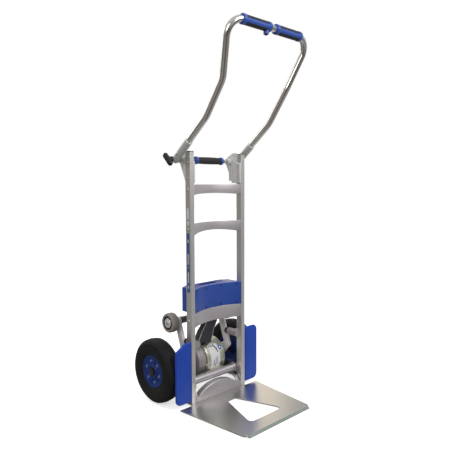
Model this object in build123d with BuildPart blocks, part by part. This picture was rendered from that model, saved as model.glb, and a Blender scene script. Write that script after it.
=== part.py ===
from build123d import *
import os
from math import acos, atan2, cos, degrees, hypot, pi, radians, sin, sqrt, tan

# Powered stair-climbing hand truck with a folding handle, in millimetres.
# X runs to the right, Y to the back and Z up. The origin is on the floor under the middle of the truck.
os.makedirs("parts", exist_ok=True)
sides = (("left", -1), ("right", 1))

# ---------------------------------------------------------------- driving dimensions
frame_width = 302
rail_width = 21
rail_depth = 31
rail_wall = 2.5
rail_corner = 3
rail_top = 1008

toe_reach = 336
toe_back_width = frame_width + 131
toe_front_width = frame_width + 65
plate_thickness = 4
plate_top = 7
lip_depth = 11

wheel_radius = 130
wheel_width = 68
wheel_overhang = 99
axle_back = 140
axle_radius = 10

running = 0.06
loose = 0.3

# The front faces of the rails stand at front_y, so that the origin is in the middle of the truck's depth.
front_y = (toe_reach - axle_back - wheel_radius) / 2
axle_y = front_y + axle_back
axle_z = wheel_radius
inner_half = frame_width / 2 - rail_width
outer_half = frame_width / 2
track_outer = frame_width + 2 * wheel_overhang
plate_bottom = plate_top - plate_thickness
seat_top = plate_top - 1

# ---------------------------------------------------------------- side rails and their caps
screw_heights = (968, 905, 864, 707, 343)
screw_y = front_y + rail_depth * 0.55
shank_radius = 3
screw_head_radius = 5.5
screw_head_height = 2.2

for side, sign in sides:
    with BuildPart() as rail:
        with BuildSketch(Plane.XY.offset(seat_top)):
            with Locations((sign * (outer_half - rail_width / 2), front_y + rail_depth / 2)):
                RectangleRounded(rail_width, rail_depth, rail_corner)
                Rectangle(rail_width - 2 * rail_wall, rail_depth - 2 * rail_wall, mode=Mode.SUBTRACT)
        extrude(amount=rail_top - seat_top)
        for height in screw_heights:
            with Locations(Plane(origin=(sign * outer_half, screw_y, height), z_dir=(sign, 0, 0))):
                Hole(shank_radius + loose / 2, depth=rail_wall)
    rail.part.label = f"{side}_rail"
    export_step(rail.part, f"parts/{side}_rail.step")

cap_height = 3
cap_plug = 14
with BuildPart() as rail_caps:
    for _, sign in sides:
        with BuildSketch(Plane.XY.offset(rail_top)):
            with Locations((sign * (outer_half - rail_width / 2), front_y + rail_depth / 2)):
                RectangleRounded(rail_width, rail_depth, rail_corner)
        extrude(amount=cap_height)
        with BuildSketch(Plane.XY.offset(rail_top)):
            with Locations((sign * (outer_half - rail_width / 2), front_y + rail_depth / 2)):
                Rectangle(rail_width - 2 * rail_wall - loose, rail_depth - 2 * rail_wall - loose)
        extrude(amount=-cap_plug)
rail_caps.part.label = "rail_caps"
export_step(rail_caps.part, "parts/rail_caps.step")

with BuildPart() as frame_screws:
    for _, sign in sides:
        for height in screw_heights:
            face = Plane(origin=(sign * outer_half, screw_y, height), z_dir=(sign, 0, 0))
            with BuildSketch(face):
                Circle(screw_head_radius)
            extrude(amount=screw_head_height)
            with BuildSketch(face):
                Circle(shank_radius)
            extrude(amount=-rail_wall)
    fillet(frame_screws.edges().filter_by(GeomType.CIRCLE).group_by(Axis.X)[0], 1)
    fillet(frame_screws.edges().filter_by(GeomType.CIRCLE).group_by(Axis.X)[-1], 1)
frame_screws.part.label = "frame_screws"
export_step(frame_screws.part, "parts/frame_screws.step")

# ---------------------------------------------------------------- crossbars, hollowed towards the load
bar_sag = 38
bar_thickness = 4
bar_front = front_y + 1
tab_depth = 25
bars = (("upper", 842, 883, 6), ("middle", 684, 731, 13), ("lower", 315, 370, 0))
bar_high = {name: high for name, _, high, _ in bars}

for name, low, high, arch in bars:
    with BuildPart() as crossbar:
        with BuildSketch(Plane.XY.offset(low)):
            with BuildLine():
                front = ThreePointArc((-inner_half, bar_front), (0, bar_front + bar_sag),
                                      (inner_half, bar_front))
                back = ThreePointArc((-inner_half, bar_front + bar_thickness),
                                     (0, bar_front + bar_sag + bar_thickness),
                                     (inner_half, bar_front + bar_thickness))
                Line(front @ 0, back @ 0)
                Line(front @ 1, back @ 1)
            make_face()
            for _, sign in sides:
                with Locations((sign * (inner_half - bar_thickness / 2), bar_front + tab_depth / 2)):
                    Rectangle(bar_thickness, tab_depth)
        extrude(amount=high - low)
        if arch:
            with BuildSketch(Plane.XZ.offset(-bar_front)):
                with BuildLine():
                    curve = ThreePointArc((-inner_half, low), (0, low + arch), (inner_half, low))
                    Line(curve @ 0, curve @ 1)
                make_face()
            extrude(amount=bar_sag + tab_depth, both=True, mode=Mode.SUBTRACT)
    crossbar.part.label = f"{name}_crossbar"
    export_step(crossbar.part, f"parts/{name}_crossbar.step")

# ---------------------------------------------------------------- toe plate with its window, lip and flange
toe_front = front_y - toe_reach
toe_rear = front_y - 5
tongue_back = front_y + rail_depth + 5
lip_width = toe_front_width - 23
flange_height = 27
flange_thickness = 3
window_back = front_y - 70
window_front = front_y - 262
window_back_width = 44
window_front_width = 182

with BuildPart() as toe_plate:
    with BuildSketch(Plane.XY.offset(plate_bottom)):
        with BuildLine():
            Polyline((-toe_back_width / 2, toe_rear), (toe_back_width / 2, toe_rear),
                     (toe_front_width / 2, toe_front + lip_depth),
                     (-toe_front_width / 2, toe_front + lip_depth), close=True)
        make_face()
        fillet(vertices().group_by(Axis.Y)[0], 14)
    extrude(amount=plate_thickness)
    with BuildSketch(Plane.XY.offset(plate_bottom)):
        with Locations((0, (toe_rear + tongue_back) / 2)):
            Rectangle(frame_width, tongue_back - toe_rear)
    extrude(amount=seat_top - plate_bottom)
    with BuildSketch(Plane.XY.offset(plate_bottom)) as window:
        with BuildLine():
            Polyline((-window_back_width / 2, window_back), (window_back_width / 2, window_back),
                     (window_front_width / 2, window_front),
                     (-window_front_width / 2, window_front), close=True)
        make_face()
        fillet(window.vertices().group_by(Axis.Y)[0], 16)
        fillet(window.vertices().group_by(Axis.Y)[-1], 5)
    extrude(amount=plate_thickness, mode=Mode.SUBTRACT)
    with BuildSketch(Plane.YZ.offset(-lip_width / 2)):
        with BuildLine():
            Polyline((toe_front + lip_depth + 2, plate_bottom), (toe_front + lip_depth + 2, plate_top),
                     (toe_front + lip_depth - 2, plate_top), (toe_front, 2), (toe_front, 0),
                     (toe_front + 4, 0), close=True)
        make_face()
    extrude(amount=lip_width)
    with BuildSketch(Plane.XY.offset(seat_top)):
        with Locations((0, front_y + flange_thickness / 2)):
            Rectangle(2 * inner_half - 1, flange_thickness)
    extrude(amount=flange_height)
toe_plate.part.label = "toe_plate"
export_step(toe_plate.part, "parts/toe_plate.step")

# ---------------------------------------------------------------- arched cover behind the flange
arch_half = 110
arch_rise = 62
arch_shoulder = 24
arch_depth = 26
arch_wall = 3
arch_front = front_y + flange_thickness

with BuildPart() as toe_brace:
    with BuildSketch(Plane.XZ.offset(-arch_front)):
        with BuildLine():
            rim = ThreePointArc((-arch_half, seat_top + arch_shoulder), (0, seat_top + arch_rise),
                                (arch_half, seat_top + arch_shoulder))
            Polyline(rim @ 0, (-arch_half, seat_top), (arch_half, seat_top), rim @ 1)
        make_face()
    extrude(amount=-arch_depth)
    with BuildSketch(Plane.XZ.offset(-arch_front - arch_wall)):
        with BuildLine():
            rim = ThreePointArc((arch_wall - arch_half, seat_top + arch_shoulder - arch_wall),
                                (0, seat_top + arch_rise - arch_wall),
                                (arch_half - arch_wall, seat_top + arch_shoulder - arch_wall))
            Polyline(rim @ 0, (arch_wall - arch_half, seat_top), (arch_half - arch_wall, seat_top), rim @ 1)
        make_face()
    extrude(amount=-arch_depth, mode=Mode.SUBTRACT)
toe_brace.part.label = "toe_brace"
export_step(toe_brace.part, "parts/toe_brace.step")

# ---------------------------------------------------------------- lower cross tube and the corner gussets
cross_y = front_y + 44
cross_z = 82
cross_radius = 17
end_plate = 5

with BuildPart() as lower_cross_tube:
    with BuildSketch(Plane.YZ.offset(-inner_half + end_plate)):
        with Locations((cross_y, cross_z)):
            Circle(cross_radius)
    extrude(amount=2 * (inner_half - end_plate))
    for _, sign in sides:
        with BuildSketch(Plane.YZ.offset(sign * inner_half)):
            with Locations(((front_y + 3 + cross_y + cross_radius) / 2, cross_z)):
                RectangleRounded(cross_y + cross_radius - front_y - 3, 2 * cross_radius + 6, 8)
        extrude(amount=-sign * end_plate)
    with BuildSketch(Plane.YZ.offset(-inner_half)):
        with Locations((cross_y, cross_z)):
            Circle(cross_radius - 4)
    extrude(amount=2 * inner_half, mode=Mode.SUBTRACT)
lower_cross_tube.part.label = "lower_cross_tube"
export_step(lower_cross_tube.part, "parts/lower_cross_tube.step")

gusset_radius = 52
gusset_band = 7
gusset_rib = 4
gusset_y = front_y + 57
gusset_inner = inner_half - end_plate - 3 * gusset_rib
with BuildPart() as toe_gussets:
    for _, sign in sides:
        for start, width in ((gusset_inner, gusset_rib), (inner_half - end_plate - gusset_rib, gusset_rib)):
            with BuildSketch(Plane.YZ.offset(sign * start)):
                with BuildLine():
                    outer = CenterArc((gusset_y, seat_top), gusset_radius, 90, 90)
                    inner = CenterArc((gusset_y, seat_top), gusset_radius - gusset_band, 90, 90)
                    Line(outer @ 0, inner @ 0)
                    Line(outer @ 1, inner @ 1)
                make_face()
            extrude(amount=sign * width)
        with BuildSketch(Plane.YZ.offset(sign * gusset_inner)):
            with Locations((gusset_y + 5, seat_top + gusset_radius - gusset_band / 2)):
                Rectangle(10, gusset_band)
        extrude(amount=sign * 3 * gusset_rib)
toe_gussets.part.label = "toe_gussets"
export_step(toe_gussets.part, "parts/toe_gussets.step")

# ---------------------------------------------------------------- blue guards in front of the wheels
guard_low = 20
guard_high = 262
guard_width = 78
guard_depth = 8
guard_gap = 2
guard_back = axle_y - wheel_radius - guard_gap
guard_wall = 3
guard_tab = 18
guard_outer = outer_half + guard_width
guard_low_round = 24
guard_top_round = 14
guard_cut = {"left": (46, 27), "right": (14, 14)}

for side, sign in sides:
    cut_across, cut_down = guard_cut[side]
    with BuildPart() as guard:
        with BuildSketch(Plane.XZ.offset(-guard_back)) as outline:
            with BuildLine():
                Polyline((sign * outer_half, guard_low), (sign * guard_outer, guard_low),
                         (sign * guard_outer, guard_high - cut_down),
                         (sign * (guard_outer - cut_across), guard_high),
                         (sign * outer_half, guard_high), close=True)
            make_face()
            corners = outline.vertices().filter_by(lambda corner: abs(corner.X) > outer_half + 1)
            fillet(corners.sort_by(Axis.Y)[0], guard_low_round)
            corners = outline.vertices().filter_by(lambda corner: abs(corner.X) > outer_half + 1)
            fillet(corners.sort_by(Axis.Y)[-2:], guard_top_round)
        extrude(amount=guard_depth)
        offset(amount=-guard_wall, openings=guard.faces().sort_by(Axis.Y)[-1])
        with BuildSketch(Plane.YZ.offset(sign * outer_half)):
            with Locations((guard_back + guard_tab / 2 - 1, (guard_low + guard_high) / 2)):
                Rectangle(guard_tab + 2, guard_high - guard_low - 40)
        extrude(amount=sign * guard_wall)
    guard.part.label = f"{side}_guard"
    export_step(guard.part, f"parts/{side}_guard.step")

# ---------------------------------------------------------------- handle brackets on the rails' inner faces
pivot_y = front_y + 62
pivot_z = 980
pivot_radius = 7
pivot_boss_radius = 13
pivot_boss_inner = inner_half - 26
bracket_plate = 4.5
bracket_bottom = 886

for side, sign in sides:
    with BuildPart() as bracket:
        with BuildSketch(Plane.YZ.offset(sign * inner_half)):
            with BuildLine():
                Polyline((front_y + 2, bracket_bottom), (front_y + 53, bracket_bottom + 3),
                         (pivot_y + 29, pivot_z - 7), (pivot_y + 20, pivot_z + 18),
                         (front_y + 50, rail_top + 7), (front_y + 26, rail_top + 7),
                         (front_y + 22, pivot_z - 6), (front_y + 2, pivot_z - 6), close=True)
            make_face()
            fillet(vertices().sort_by(Axis.X)[-1], 12)
        extrude(amount=-sign * bracket_plate)
        with BuildSketch(Plane.YZ.offset(sign * pivot_boss_inner)):
            with Locations((pivot_y, pivot_z)):
                Circle(pivot_boss_radius)
        extrude(amount=sign * (outer_half - pivot_boss_inner))
        with BuildSketch(Plane.YZ.offset(sign * pivot_boss_inner)):
            with Locations((pivot_y, pivot_z)):
                Circle(pivot_radius + running)
        extrude(amount=sign * (outer_half - pivot_boss_inner), mode=Mode.SUBTRACT)
    bracket.part.label = f"{side}_handle_bracket"
    export_step(bracket.part, f"parts/{side}_handle_bracket.step")

# ---------------------------------------------------------------- pivot bar with the carrying grip
sleeve_radius = 15
sleeve_x = outer_half + sleeve_radius + 5
tube_radius = 12.5
washer_radius = 12
washer_gap = 0.5
washer_start = sleeve_x + sleeve_radius + washer_gap
washer_thickness = 4
stud_end = washer_start + washer_thickness + 10

with BuildPart() as pivot_bar:
    with BuildSketch(Plane.YZ.offset(-stud_end)):
        with Locations((pivot_y, pivot_z)):
            Circle(pivot_radius)
    extrude(amount=stud_end + washer_start)
    for _, sign in sides:
        with BuildSketch(Plane.YZ.offset(sign * washer_start)):
            with Locations((pivot_y, pivot_z)):
                Circle(washer_radius)
        extrude(amount=sign * washer_thickness)
pivot_bar.part.label = "pivot_bar"
export_step(pivot_bar.part, "parts/pivot_bar.step")

grip_half = 62
ring_width = 15
ring_radius = 16
rubber_radius = 14.5
with BuildPart() as carry_grip:
    with BuildSketch(Plane.YZ.offset(-grip_half)):
        with Locations((pivot_y, pivot_z)):
            Circle(rubber_radius)
            Circle(pivot_radius + running, mode=Mode.SUBTRACT)
    extrude(amount=2 * grip_half)
carry_grip.part.label = "carry_grip"
export_step(carry_grip.part, "parts/carry_grip.step")

with BuildPart() as carry_grip_rings:
    for _, sign in sides:
        with BuildSketch(Plane.YZ.offset(sign * grip_half)):
            with Locations((pivot_y, pivot_z)):
                Circle(ring_radius)
                Circle(pivot_radius + running, mode=Mode.SUBTRACT)
        extrude(amount=sign * ring_width)
    fillet(carry_grip_rings.edges().filter_by(GeomType.CIRCLE).filter_by(
        lambda edge: edge.radius > rubber_radius), 3)
carry_grip_rings.part.label = "carry_grip_rings"
export_step(carry_grip_rings.part, "parts/carry_grip_rings.step")

# ---------------------------------------------------------------- folding handle
bend_low = (front_y - 117, 1126)
bend_high = (front_y - 206, 1250)
grip_y = front_y - 282
grip_z = 1437
corner_x = sleeve_x + 70
bend_radius = 130
corner_radius = 55
sleeve_length = 106
tube_start = 32

lean = Vector(0, bend_low[0] - pivot_y, bend_low[1] - pivot_z).normalized()
pivot_point = {sign: Vector(sign * sleeve_x, pivot_y, pivot_z) for _, sign in sides}
route = [pivot_point[-1] + lean * tube_start]
route += [(-sleeve_x, *bend_low), (-sleeve_x, *bend_high), (-corner_x, grip_y, grip_z)]
route += [(corner_x, grip_y, grip_z), (sleeve_x, *bend_high), (sleeve_x, *bend_low)]
route += [pivot_point[1] + lean * tube_start]
bends = (bend_radius, bend_radius, corner_radius, corner_radius, bend_radius, bend_radius)
tube_wall = 2

with BuildPart() as handle_tube:
    with BuildLine():
        path = FilletPolyline(*route, radius=bends)
    with BuildSketch(Plane(origin=path @ 0, z_dir=path % 0)):
        Circle(tube_radius)
        Circle(tube_radius - tube_wall, mode=Mode.SUBTRACT)
    sweep(path=path)
handle_tube.part.label = "handle_tube"
export_step(handle_tube.part, "parts/handle_tube.step")

for side, sign in sides:
    with BuildPart() as sleeve:
        with BuildSketch(Plane(origin=pivot_point[sign], z_dir=lean)):
            Circle(sleeve_radius)
        extrude(amount=sleeve_length)
        with Locations(pivot_point[sign]):
            Sphere(sleeve_radius)
        with BuildSketch(Plane(origin=pivot_point[sign] + lean * (tube_start - 1), z_dir=lean)):
            Circle(tube_radius + running)
        extrude(amount=sleeve_length, mode=Mode.SUBTRACT)
        with BuildSketch(Plane.YZ.offset(sign * (sleeve_x - sleeve_radius))):
            with Locations((pivot_y, pivot_z)):
                Circle(pivot_radius + running)
        extrude(amount=sign * 2 * sleeve_radius, mode=Mode.SUBTRACT)
    sleeve.part.label = f"{side}_sleeve"
    export_step(sleeve.part, f"parts/{side}_sleeve.step")

# ---------------------------------------------------------------- hand grips with rubber inserts
hand_grip_inner = 14
hand_grip_outer = corner_x - 84
core_radius = 16
collar_radius = 18.5
collar_width = 13
insert_height = 1.6
insert_angle = 84

for side, sign in sides:
    with BuildPart() as grip:
        for start, end, radius in ((hand_grip_inner, hand_grip_outer, core_radius),
                                   (hand_grip_inner, hand_grip_inner + collar_width, collar_radius),
                                   (hand_grip_outer - collar_width, hand_grip_outer, collar_radius)):
            with BuildSketch(Plane.YZ.offset(sign * start)):
                with Locations((grip_y, grip_z)):
                    Circle(radius)
            extrude(amount=sign * (end - start))
        fillet(grip.edges().filter_by(GeomType.CIRCLE).filter_by(
            lambda edge: edge.radius > core_radius + 1), 2)
        with BuildSketch(Plane.YZ.offset(sign * hand_grip_inner)):
            with Locations((grip_y, grip_z)):
                Circle(tube_radius + running)
        extrude(amount=sign * (hand_grip_outer - hand_grip_inner), mode=Mode.SUBTRACT)
    grip.part.label = f"{side}_grip"
    export_step(grip.part, f"parts/{side}_grip.step")

insert_start = hand_grip_inner + collar_width + loose
insert_length = hand_grip_outer - hand_grip_inner - 2 * (collar_width + loose)
with BuildPart() as grip_inserts:
    for _, sign in sides:
        for middle in (90, 270):
            with BuildSketch(Plane.YZ.offset(sign * insert_start)):
                with BuildLine():
                    outer = CenterArc((grip_y, grip_z), core_radius + insert_height,
                                      middle - insert_angle / 2, insert_angle)
                    inner = CenterArc((grip_y, grip_z), core_radius + running,
                                      middle - insert_angle / 2, insert_angle)
                    Line(outer @ 0, inner @ 0)
                    Line(outer @ 1, inner @ 1)
                make_face()
            extrude(amount=sign * insert_length)
grip_inserts.part.label = "grip_inserts"
export_step(grip_inserts.part, "parts/grip_inserts.step")

# ---------------------------------------------------------------- drive switch under the left grip
switch_x = -(hand_grip_inner + collar_width / 2 + 12)
switch_radius = 10
switch_drop = 27
button_radius = 6.5
button_proud = 4
button_travel = 3

with BuildPart() as switch_housing:
    with BuildSketch(Plane.XY.offset(grip_z - switch_drop)):
        with Locations((switch_x, grip_y)):
            Circle(switch_radius)
    extrude(amount=switch_drop)
    with BuildSketch(Plane.YZ.offset(switch_x - 2 * switch_radius)):
        with Locations((grip_y, grip_z)):
            Circle(core_radius + insert_height + loose)
    extrude(amount=4 * switch_radius, mode=Mode.SUBTRACT)
    with BuildSketch(Plane.YZ.offset(-hand_grip_inner - collar_width - loose)):
        with Locations((grip_y, grip_z)):
            Circle(collar_radius + loose)
    extrude(amount=collar_width + loose, mode=Mode.SUBTRACT)
    with BuildSketch(Plane.XY.offset(grip_z - switch_drop)):
        with Locations((switch_x, grip_y)):
            Circle(button_radius + loose)
    extrude(amount=button_travel + 2.5, mode=Mode.SUBTRACT)
switch_housing.part.label = "switch_housing"
export_step(switch_housing.part, "parts/switch_housing.step")

with BuildPart() as drive_button:
    with BuildSketch(Plane.XY.offset(grip_z - switch_drop - button_proud)):
        with Locations((switch_x, grip_y)):
            Circle(button_radius)
    extrude(amount=button_proud + 2)
    fillet(drive_button.edges().group_by(Axis.Z)[0], 2)
drive_button.part.label = "drive_button"
export_step(drive_button.part, "parts/drive_button.step")

# ---------------------------------------------------------------- wing knob on the pivot bar's left end
knob_start = washer_start + washer_thickness + 0.3
knob_hub_radius = 12
knob_hub_length = 13
wing_length = 62
wing_height = 17
wing_thickness = 13
wing_slant = 45

with BuildPart() as lock_knob:
    with BuildSketch(Plane.YZ.offset(-knob_start)):
        with Locations((pivot_y, pivot_z)):
            Circle(knob_hub_radius)
    extrude(amount=-knob_hub_length)
    with BuildSketch(Plane.YZ.offset(-knob_start - knob_hub_length)):
        with Locations((pivot_y, pivot_z)):
            SlotOverall(wing_length, wing_height, rotation=wing_slant)
    extrude(amount=-wing_thickness)
    fillet(lock_knob.edges().group_by(Axis.X)[0], 4)
    with BuildSketch(Plane.YZ.offset(-knob_start)):
        with Locations((pivot_y, pivot_z)):
            Circle(pivot_radius + running)
    extrude(amount=-(stud_end - knob_start + 1), mode=Mode.SUBTRACT)
lock_knob.part.label = "lock_knob"
export_step(lock_knob.part, "parts/lock_knob.step")

# ---------------------------------------------------------------- battery unit on the lower crossbar
unit_low = bar_high["lower"]
unit_high = unit_low + 97
unit_back = front_y + 105
unit_shoulder = front_y + 82
cover_thickness = 4
bay_half = inner_half - 42
bay_front = front_y + 50
bay_back = front_y + 101
bay_floor = 4
pack_gap = 0.5

with BuildPart() as battery_cover:
    with BuildSketch(Plane.XY.offset(unit_low)):
        with BuildLine():
            front = ThreePointArc((-inner_half, bar_front), (0, bar_front + bar_sag),
                                  (inner_half, bar_front))
            back = ThreePointArc((-inner_half, bar_front + cover_thickness),
                                 (0, bar_front + bar_sag + cover_thickness),
                                 (inner_half, bar_front + cover_thickness))
            Line(front @ 0, back @ 0)
            Line(front @ 1, back @ 1)
        make_face()
    extrude(amount=unit_high - unit_low)
battery_cover.part.label = "battery_cover"
export_step(battery_cover.part, "parts/battery_cover.step")

pocket_inner = bay_half + 4
pocket_outer = inner_half - 4
with BuildPart() as battery_housing:
    with BuildSketch(Plane.XY.offset(unit_low)):
        with BuildLine():
            inside = ThreePointArc((-inner_half, bar_front + cover_thickness + loose),
                                   (0, bar_front + bar_sag + cover_thickness + loose),
                                   (inner_half, bar_front + cover_thickness + loose))
            Polyline(inside @ 1, (inner_half, unit_shoulder), (inner_half - 40, unit_back),
                     (-inner_half + 40, unit_back), (-inner_half, unit_shoulder), inside @ 0)
        make_face()
    extrude(amount=unit_high - unit_low)
    fillet(battery_housing.edges().group_by(Axis.Z)[-1].sort_by(Axis.Y)[-1], 3)
    with BuildSketch(Plane.XY.offset(unit_low + bay_floor)):
        with Locations((0, (bay_front + bay_back) / 2)):
            Rectangle(2 * bay_half, bay_back - bay_front)
    extrude(amount=unit_high - unit_low, mode=Mode.SUBTRACT)
    with BuildSketch(Plane.XY.offset(unit_low)):
        for _, sign in sides:
            with Locations((sign * (pocket_inner + pocket_outer) / 2, front_y + 54)):
                Rectangle(pocket_outer - pocket_inner, 50)
    extrude(amount=unit_high - unit_low - 4, mode=Mode.SUBTRACT)
battery_housing.part.label = "battery_housing"
export_step(battery_housing.part, "parts/battery_housing.step")

with BuildPart() as control_board:
    with BuildSketch(Plane.XY.offset(unit_low + 6)):
        with Locations((pocket_inner + 3, front_y + 54)):
            Rectangle(2, 44)
        with Locations((pocket_inner + 2 + 5, front_y + 46)):
            Rectangle(8, 22)
        with Locations((pocket_inner + 1, front_y + 54)):
            Rectangle(2, 10)
    extrude(amount=70)
control_board.part.label = "control_board"
export_step(control_board.part, "parts/control_board.step")

with BuildPart() as battery_pack:
    with BuildSketch(Plane.XY.offset(unit_low + bay_floor)):
        with Locations((0, (bay_front + bay_back) / 2)):
            Rectangle(2 * (bay_half - pack_gap), bay_back - bay_front - 2 * pack_gap)
    extrude(amount=unit_high - unit_low - bay_floor)
    fillet(battery_pack.edges().group_by(Axis.Z)[-1], 2)
    with BuildSketch(Plane.XY.offset(unit_high)):
        with Locations((0, (bay_front + bay_back) / 2)):
            SlotOverall(96, 26)
    extrude(amount=-14, mode=Mode.SUBTRACT)
battery_pack.part.label = "battery_pack"
export_step(battery_pack.part, "parts/battery_pack.step")

bar_arc = (inner_half ** 2 + bar_sag ** 2) / (2 * bar_sag)
cover_screw_columns = (18 - inner_half, -42, 42, inner_half - 18)
cover_screw_radius = 3.2
cover_screw_height = 1.2
cover_screw_gap = 0.05
with BuildPart() as cover_screws:
    for height in (unit_low + 9, unit_high - 9):
        for x in cover_screw_columns:
            sink = sqrt(bar_arc ** 2 - x ** 2) - (bar_arc - bar_sag)
            out = Vector(-x, -sqrt(bar_arc ** 2 - x ** 2), 0)
            seat = Vector(x, bar_front + sink, height) + out.normalized() * cover_screw_gap
            with BuildSketch(Plane(origin=seat, z_dir=out)):
                Circle(cover_screw_radius)
            extrude(amount=cover_screw_height)
cover_screws.part.label = "cover_screws"
export_step(cover_screws.part, "parts/cover_screws.step")

# ---------------------------------------------------------------- gearbox drum around the wheel axle
drum_radius = 78
drum_wall = 5
drum_left = -11
drum_right = 94
lid_thickness = 12
sleeve_shaft_radius = 15
pad_low = 168
pad_high = 214
pad_front = axle_y - 61
pad_back = axle_y - 27
pad_left = drum_left
pad_right = 26
neck_left = -19
neck_right = 46
foot_low = 68
foot_high = 96
foot_left = 2
foot_right = 72

motor_radius = 70
motor_left = -52
motor_wall = 4
pinion_offset = 38
motor_can_radius = 17
shaft_radius = 4

with BuildPart() as gearbox_housing:
    with BuildSketch(Plane.YZ.offset(drum_left)):
        with Locations((axle_y, axle_z)):
            Circle(drum_radius)
    extrude(amount=drum_right - lid_thickness - drum_left)
    with BuildSketch(Plane.XY.offset(pad_low)):
        with Locations(((pad_left + pad_right) / 2, (pad_front + pad_back) / 2)):
            Rectangle(pad_right - pad_left, pad_back - pad_front)
    extrude(amount=pad_high - pad_low)
    with BuildSketch(Plane.XY.offset(foot_low)):
        with Locations(((foot_left + foot_right) / 2, (cross_y + axle_y - 40) / 2)):
            Rectangle(foot_right - foot_left, axle_y - 40 - cross_y)
    extrude(amount=foot_high - foot_low)
    with BuildSketch(Plane.YZ.offset(foot_left)):
        with Locations((cross_y, cross_z)):
            Circle(cross_radius + loose)
    extrude(amount=foot_right - foot_left, mode=Mode.SUBTRACT)
    with BuildSketch(Plane.YZ.offset(drum_left + drum_wall)):
        with Locations((axle_y, axle_z)):
            Circle(drum_radius - drum_wall)
    extrude(amount=drum_right - drum_left, mode=Mode.SUBTRACT)
    with BuildSketch(Plane.YZ.offset(drum_left)):
        with Locations((axle_y, axle_z)):
            Circle(sleeve_shaft_radius + running)
        with Locations((axle_y + pinion_offset, axle_z)):
            Circle(shaft_radius + 2)
    extrude(amount=drum_wall, mode=Mode.SUBTRACT)
gearbox_housing.part.label = "gearbox_housing"
export_step(gearbox_housing.part, "parts/gearbox_housing.step")

with BuildPart() as gearbox_lid:
    with BuildSketch(Plane.YZ.offset(drum_right - lid_thickness)):
        with Locations((axle_y, axle_z)):
            Circle(drum_radius)
    extrude(amount=lid_thickness)
    fillet(gearbox_lid.edges().group_by(Axis.X)[-1], 5)
    with BuildSketch(Plane.YZ.offset(drum_right - lid_thickness)):
        with Locations((axle_y, axle_z)):
            Circle(sleeve_shaft_radius + running)
    extrude(amount=lid_thickness, mode=Mode.SUBTRACT)
gearbox_lid.part.label = "gearbox_lid"
export_step(gearbox_lid.part, "parts/gearbox_lid.step")

with BuildPart() as gearbox_bolts:
    with BuildSketch(Plane.YZ.offset(drum_right)):
        with Locations((axle_y, axle_z)):
            with PolarLocations(drum_radius - 13, 6, start_angle=30):
                RegularPolygon(4.5, 6)
    extrude(amount=4)
gearbox_bolts.part.label = "gearbox_bolts"
export_step(gearbox_bolts.part, "parts/gearbox_bolts.step")

with BuildPart() as motor_housing:
    with BuildSketch(Plane.YZ.offset(drum_left)):
        with Locations((axle_y, axle_z)):
            Circle(motor_radius)
    extrude(amount=motor_left - drum_left)
    fillet(motor_housing.edges().group_by(Axis.X)[0], 6)
    with BuildSketch(Plane.YZ.offset(drum_left)):
        with Locations((axle_y, axle_z)):
            Circle(motor_radius - motor_wall)
    extrude(amount=motor_left + motor_wall - drum_left, mode=Mode.SUBTRACT)
    with BuildSketch(Plane.YZ.offset(motor_left)):
        with Locations((axle_y, axle_z)):
            Circle(sleeve_shaft_radius + running)
    extrude(amount=motor_wall, mode=Mode.SUBTRACT)
motor_housing.part.label = "motor_housing"
export_step(motor_housing.part, "parts/motor_housing.step")

with BuildPart() as drive_motor:
    with BuildSketch(Plane.YZ.offset(drum_left)):
        with Locations((axle_y + pinion_offset, axle_z)):
            Circle(motor_can_radius)
    extrude(amount=motor_left + motor_wall + 2 - drum_left)
    with BuildSketch(Plane.YZ.offset(drum_left)):
        with Locations((axle_y + pinion_offset, axle_z)):
            Circle(shaft_radius + running)
    extrude(amount=-26, mode=Mode.SUBTRACT)
drive_motor.part.label = "drive_motor"
export_step(drive_motor.part, "parts/drive_motor.step")

# ---------------------------------------------------------------- gear pair inside the drum
gear_module = 2
pinion_teeth = 11
gear_teeth = 27
pressure_angle = radians(25)
gear_width = 16
gear_start = drum_left + drum_wall + 4
backlash = 0.12


def gear_outline(teeth):
    """Corner points of a spur gear: each flank follows the involute of the base circle."""
    pitch = gear_module * teeth / 2
    base = pitch * cos(pressure_angle)
    tip = pitch + 0.85 * gear_module
    root = pitch - 1.15 * gear_module
    rest = tan(pressure_angle) - pressure_angle
    points = []
    for tooth in range(teeth):
        middle = 2 * pi * tooth / teeth
        flank = []
        for step in range(4):
            radius = base + (tip - base) * step / 3
            roll = acos(min(1, base / radius))
            half = pi / (2 * teeth) + rest - (tan(roll) - roll) - backlash / radius
            flank.append((radius, half))
        flank.insert(0, (root, flank[0][1] * 1.15))
        for radius, half in flank:
            points.append((radius * cos(middle - half), radius * sin(middle - half)))
        for radius, half in reversed(flank):
            points.append((radius * cos(middle + half), radius * sin(middle + half)))
    return points


with BuildPart() as output_gear:
    with BuildSketch(Plane.YZ.offset(gear_start)):
        with Locations((axle_y, axle_z)):
            Polygon(*gear_outline(gear_teeth), align=None)
            Circle(sleeve_shaft_radius + running, mode=Mode.SUBTRACT)
    extrude(amount=gear_width)
output_gear.part.label = "output_gear"
export_step(output_gear.part, "parts/output_gear.step")

with BuildPart() as motor_pinion:
    with BuildSketch(Plane.YZ.offset(gear_start - 1)):
        with Locations((axle_y + pinion_offset, axle_z)):
            Polygon(*gear_outline(pinion_teeth), align=None)
    extrude(amount=gear_width + 2)
    with BuildSketch(Plane.YZ.offset(gear_start)):
        with Locations((axle_y + pinion_offset, axle_z)):
            Circle(shaft_radius)
    extrude(amount=drum_left - 24 - gear_start)
motor_pinion.part.label = "motor_pinion"
export_step(motor_pinion.part, "parts/motor_pinion.step")

# ---------------------------------------------------------------- neck from the drum up to the battery unit
neck_top_front = front_y + 46
neck_top_back = front_y + 68
flare_left = -56
flare_top = 262

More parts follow.
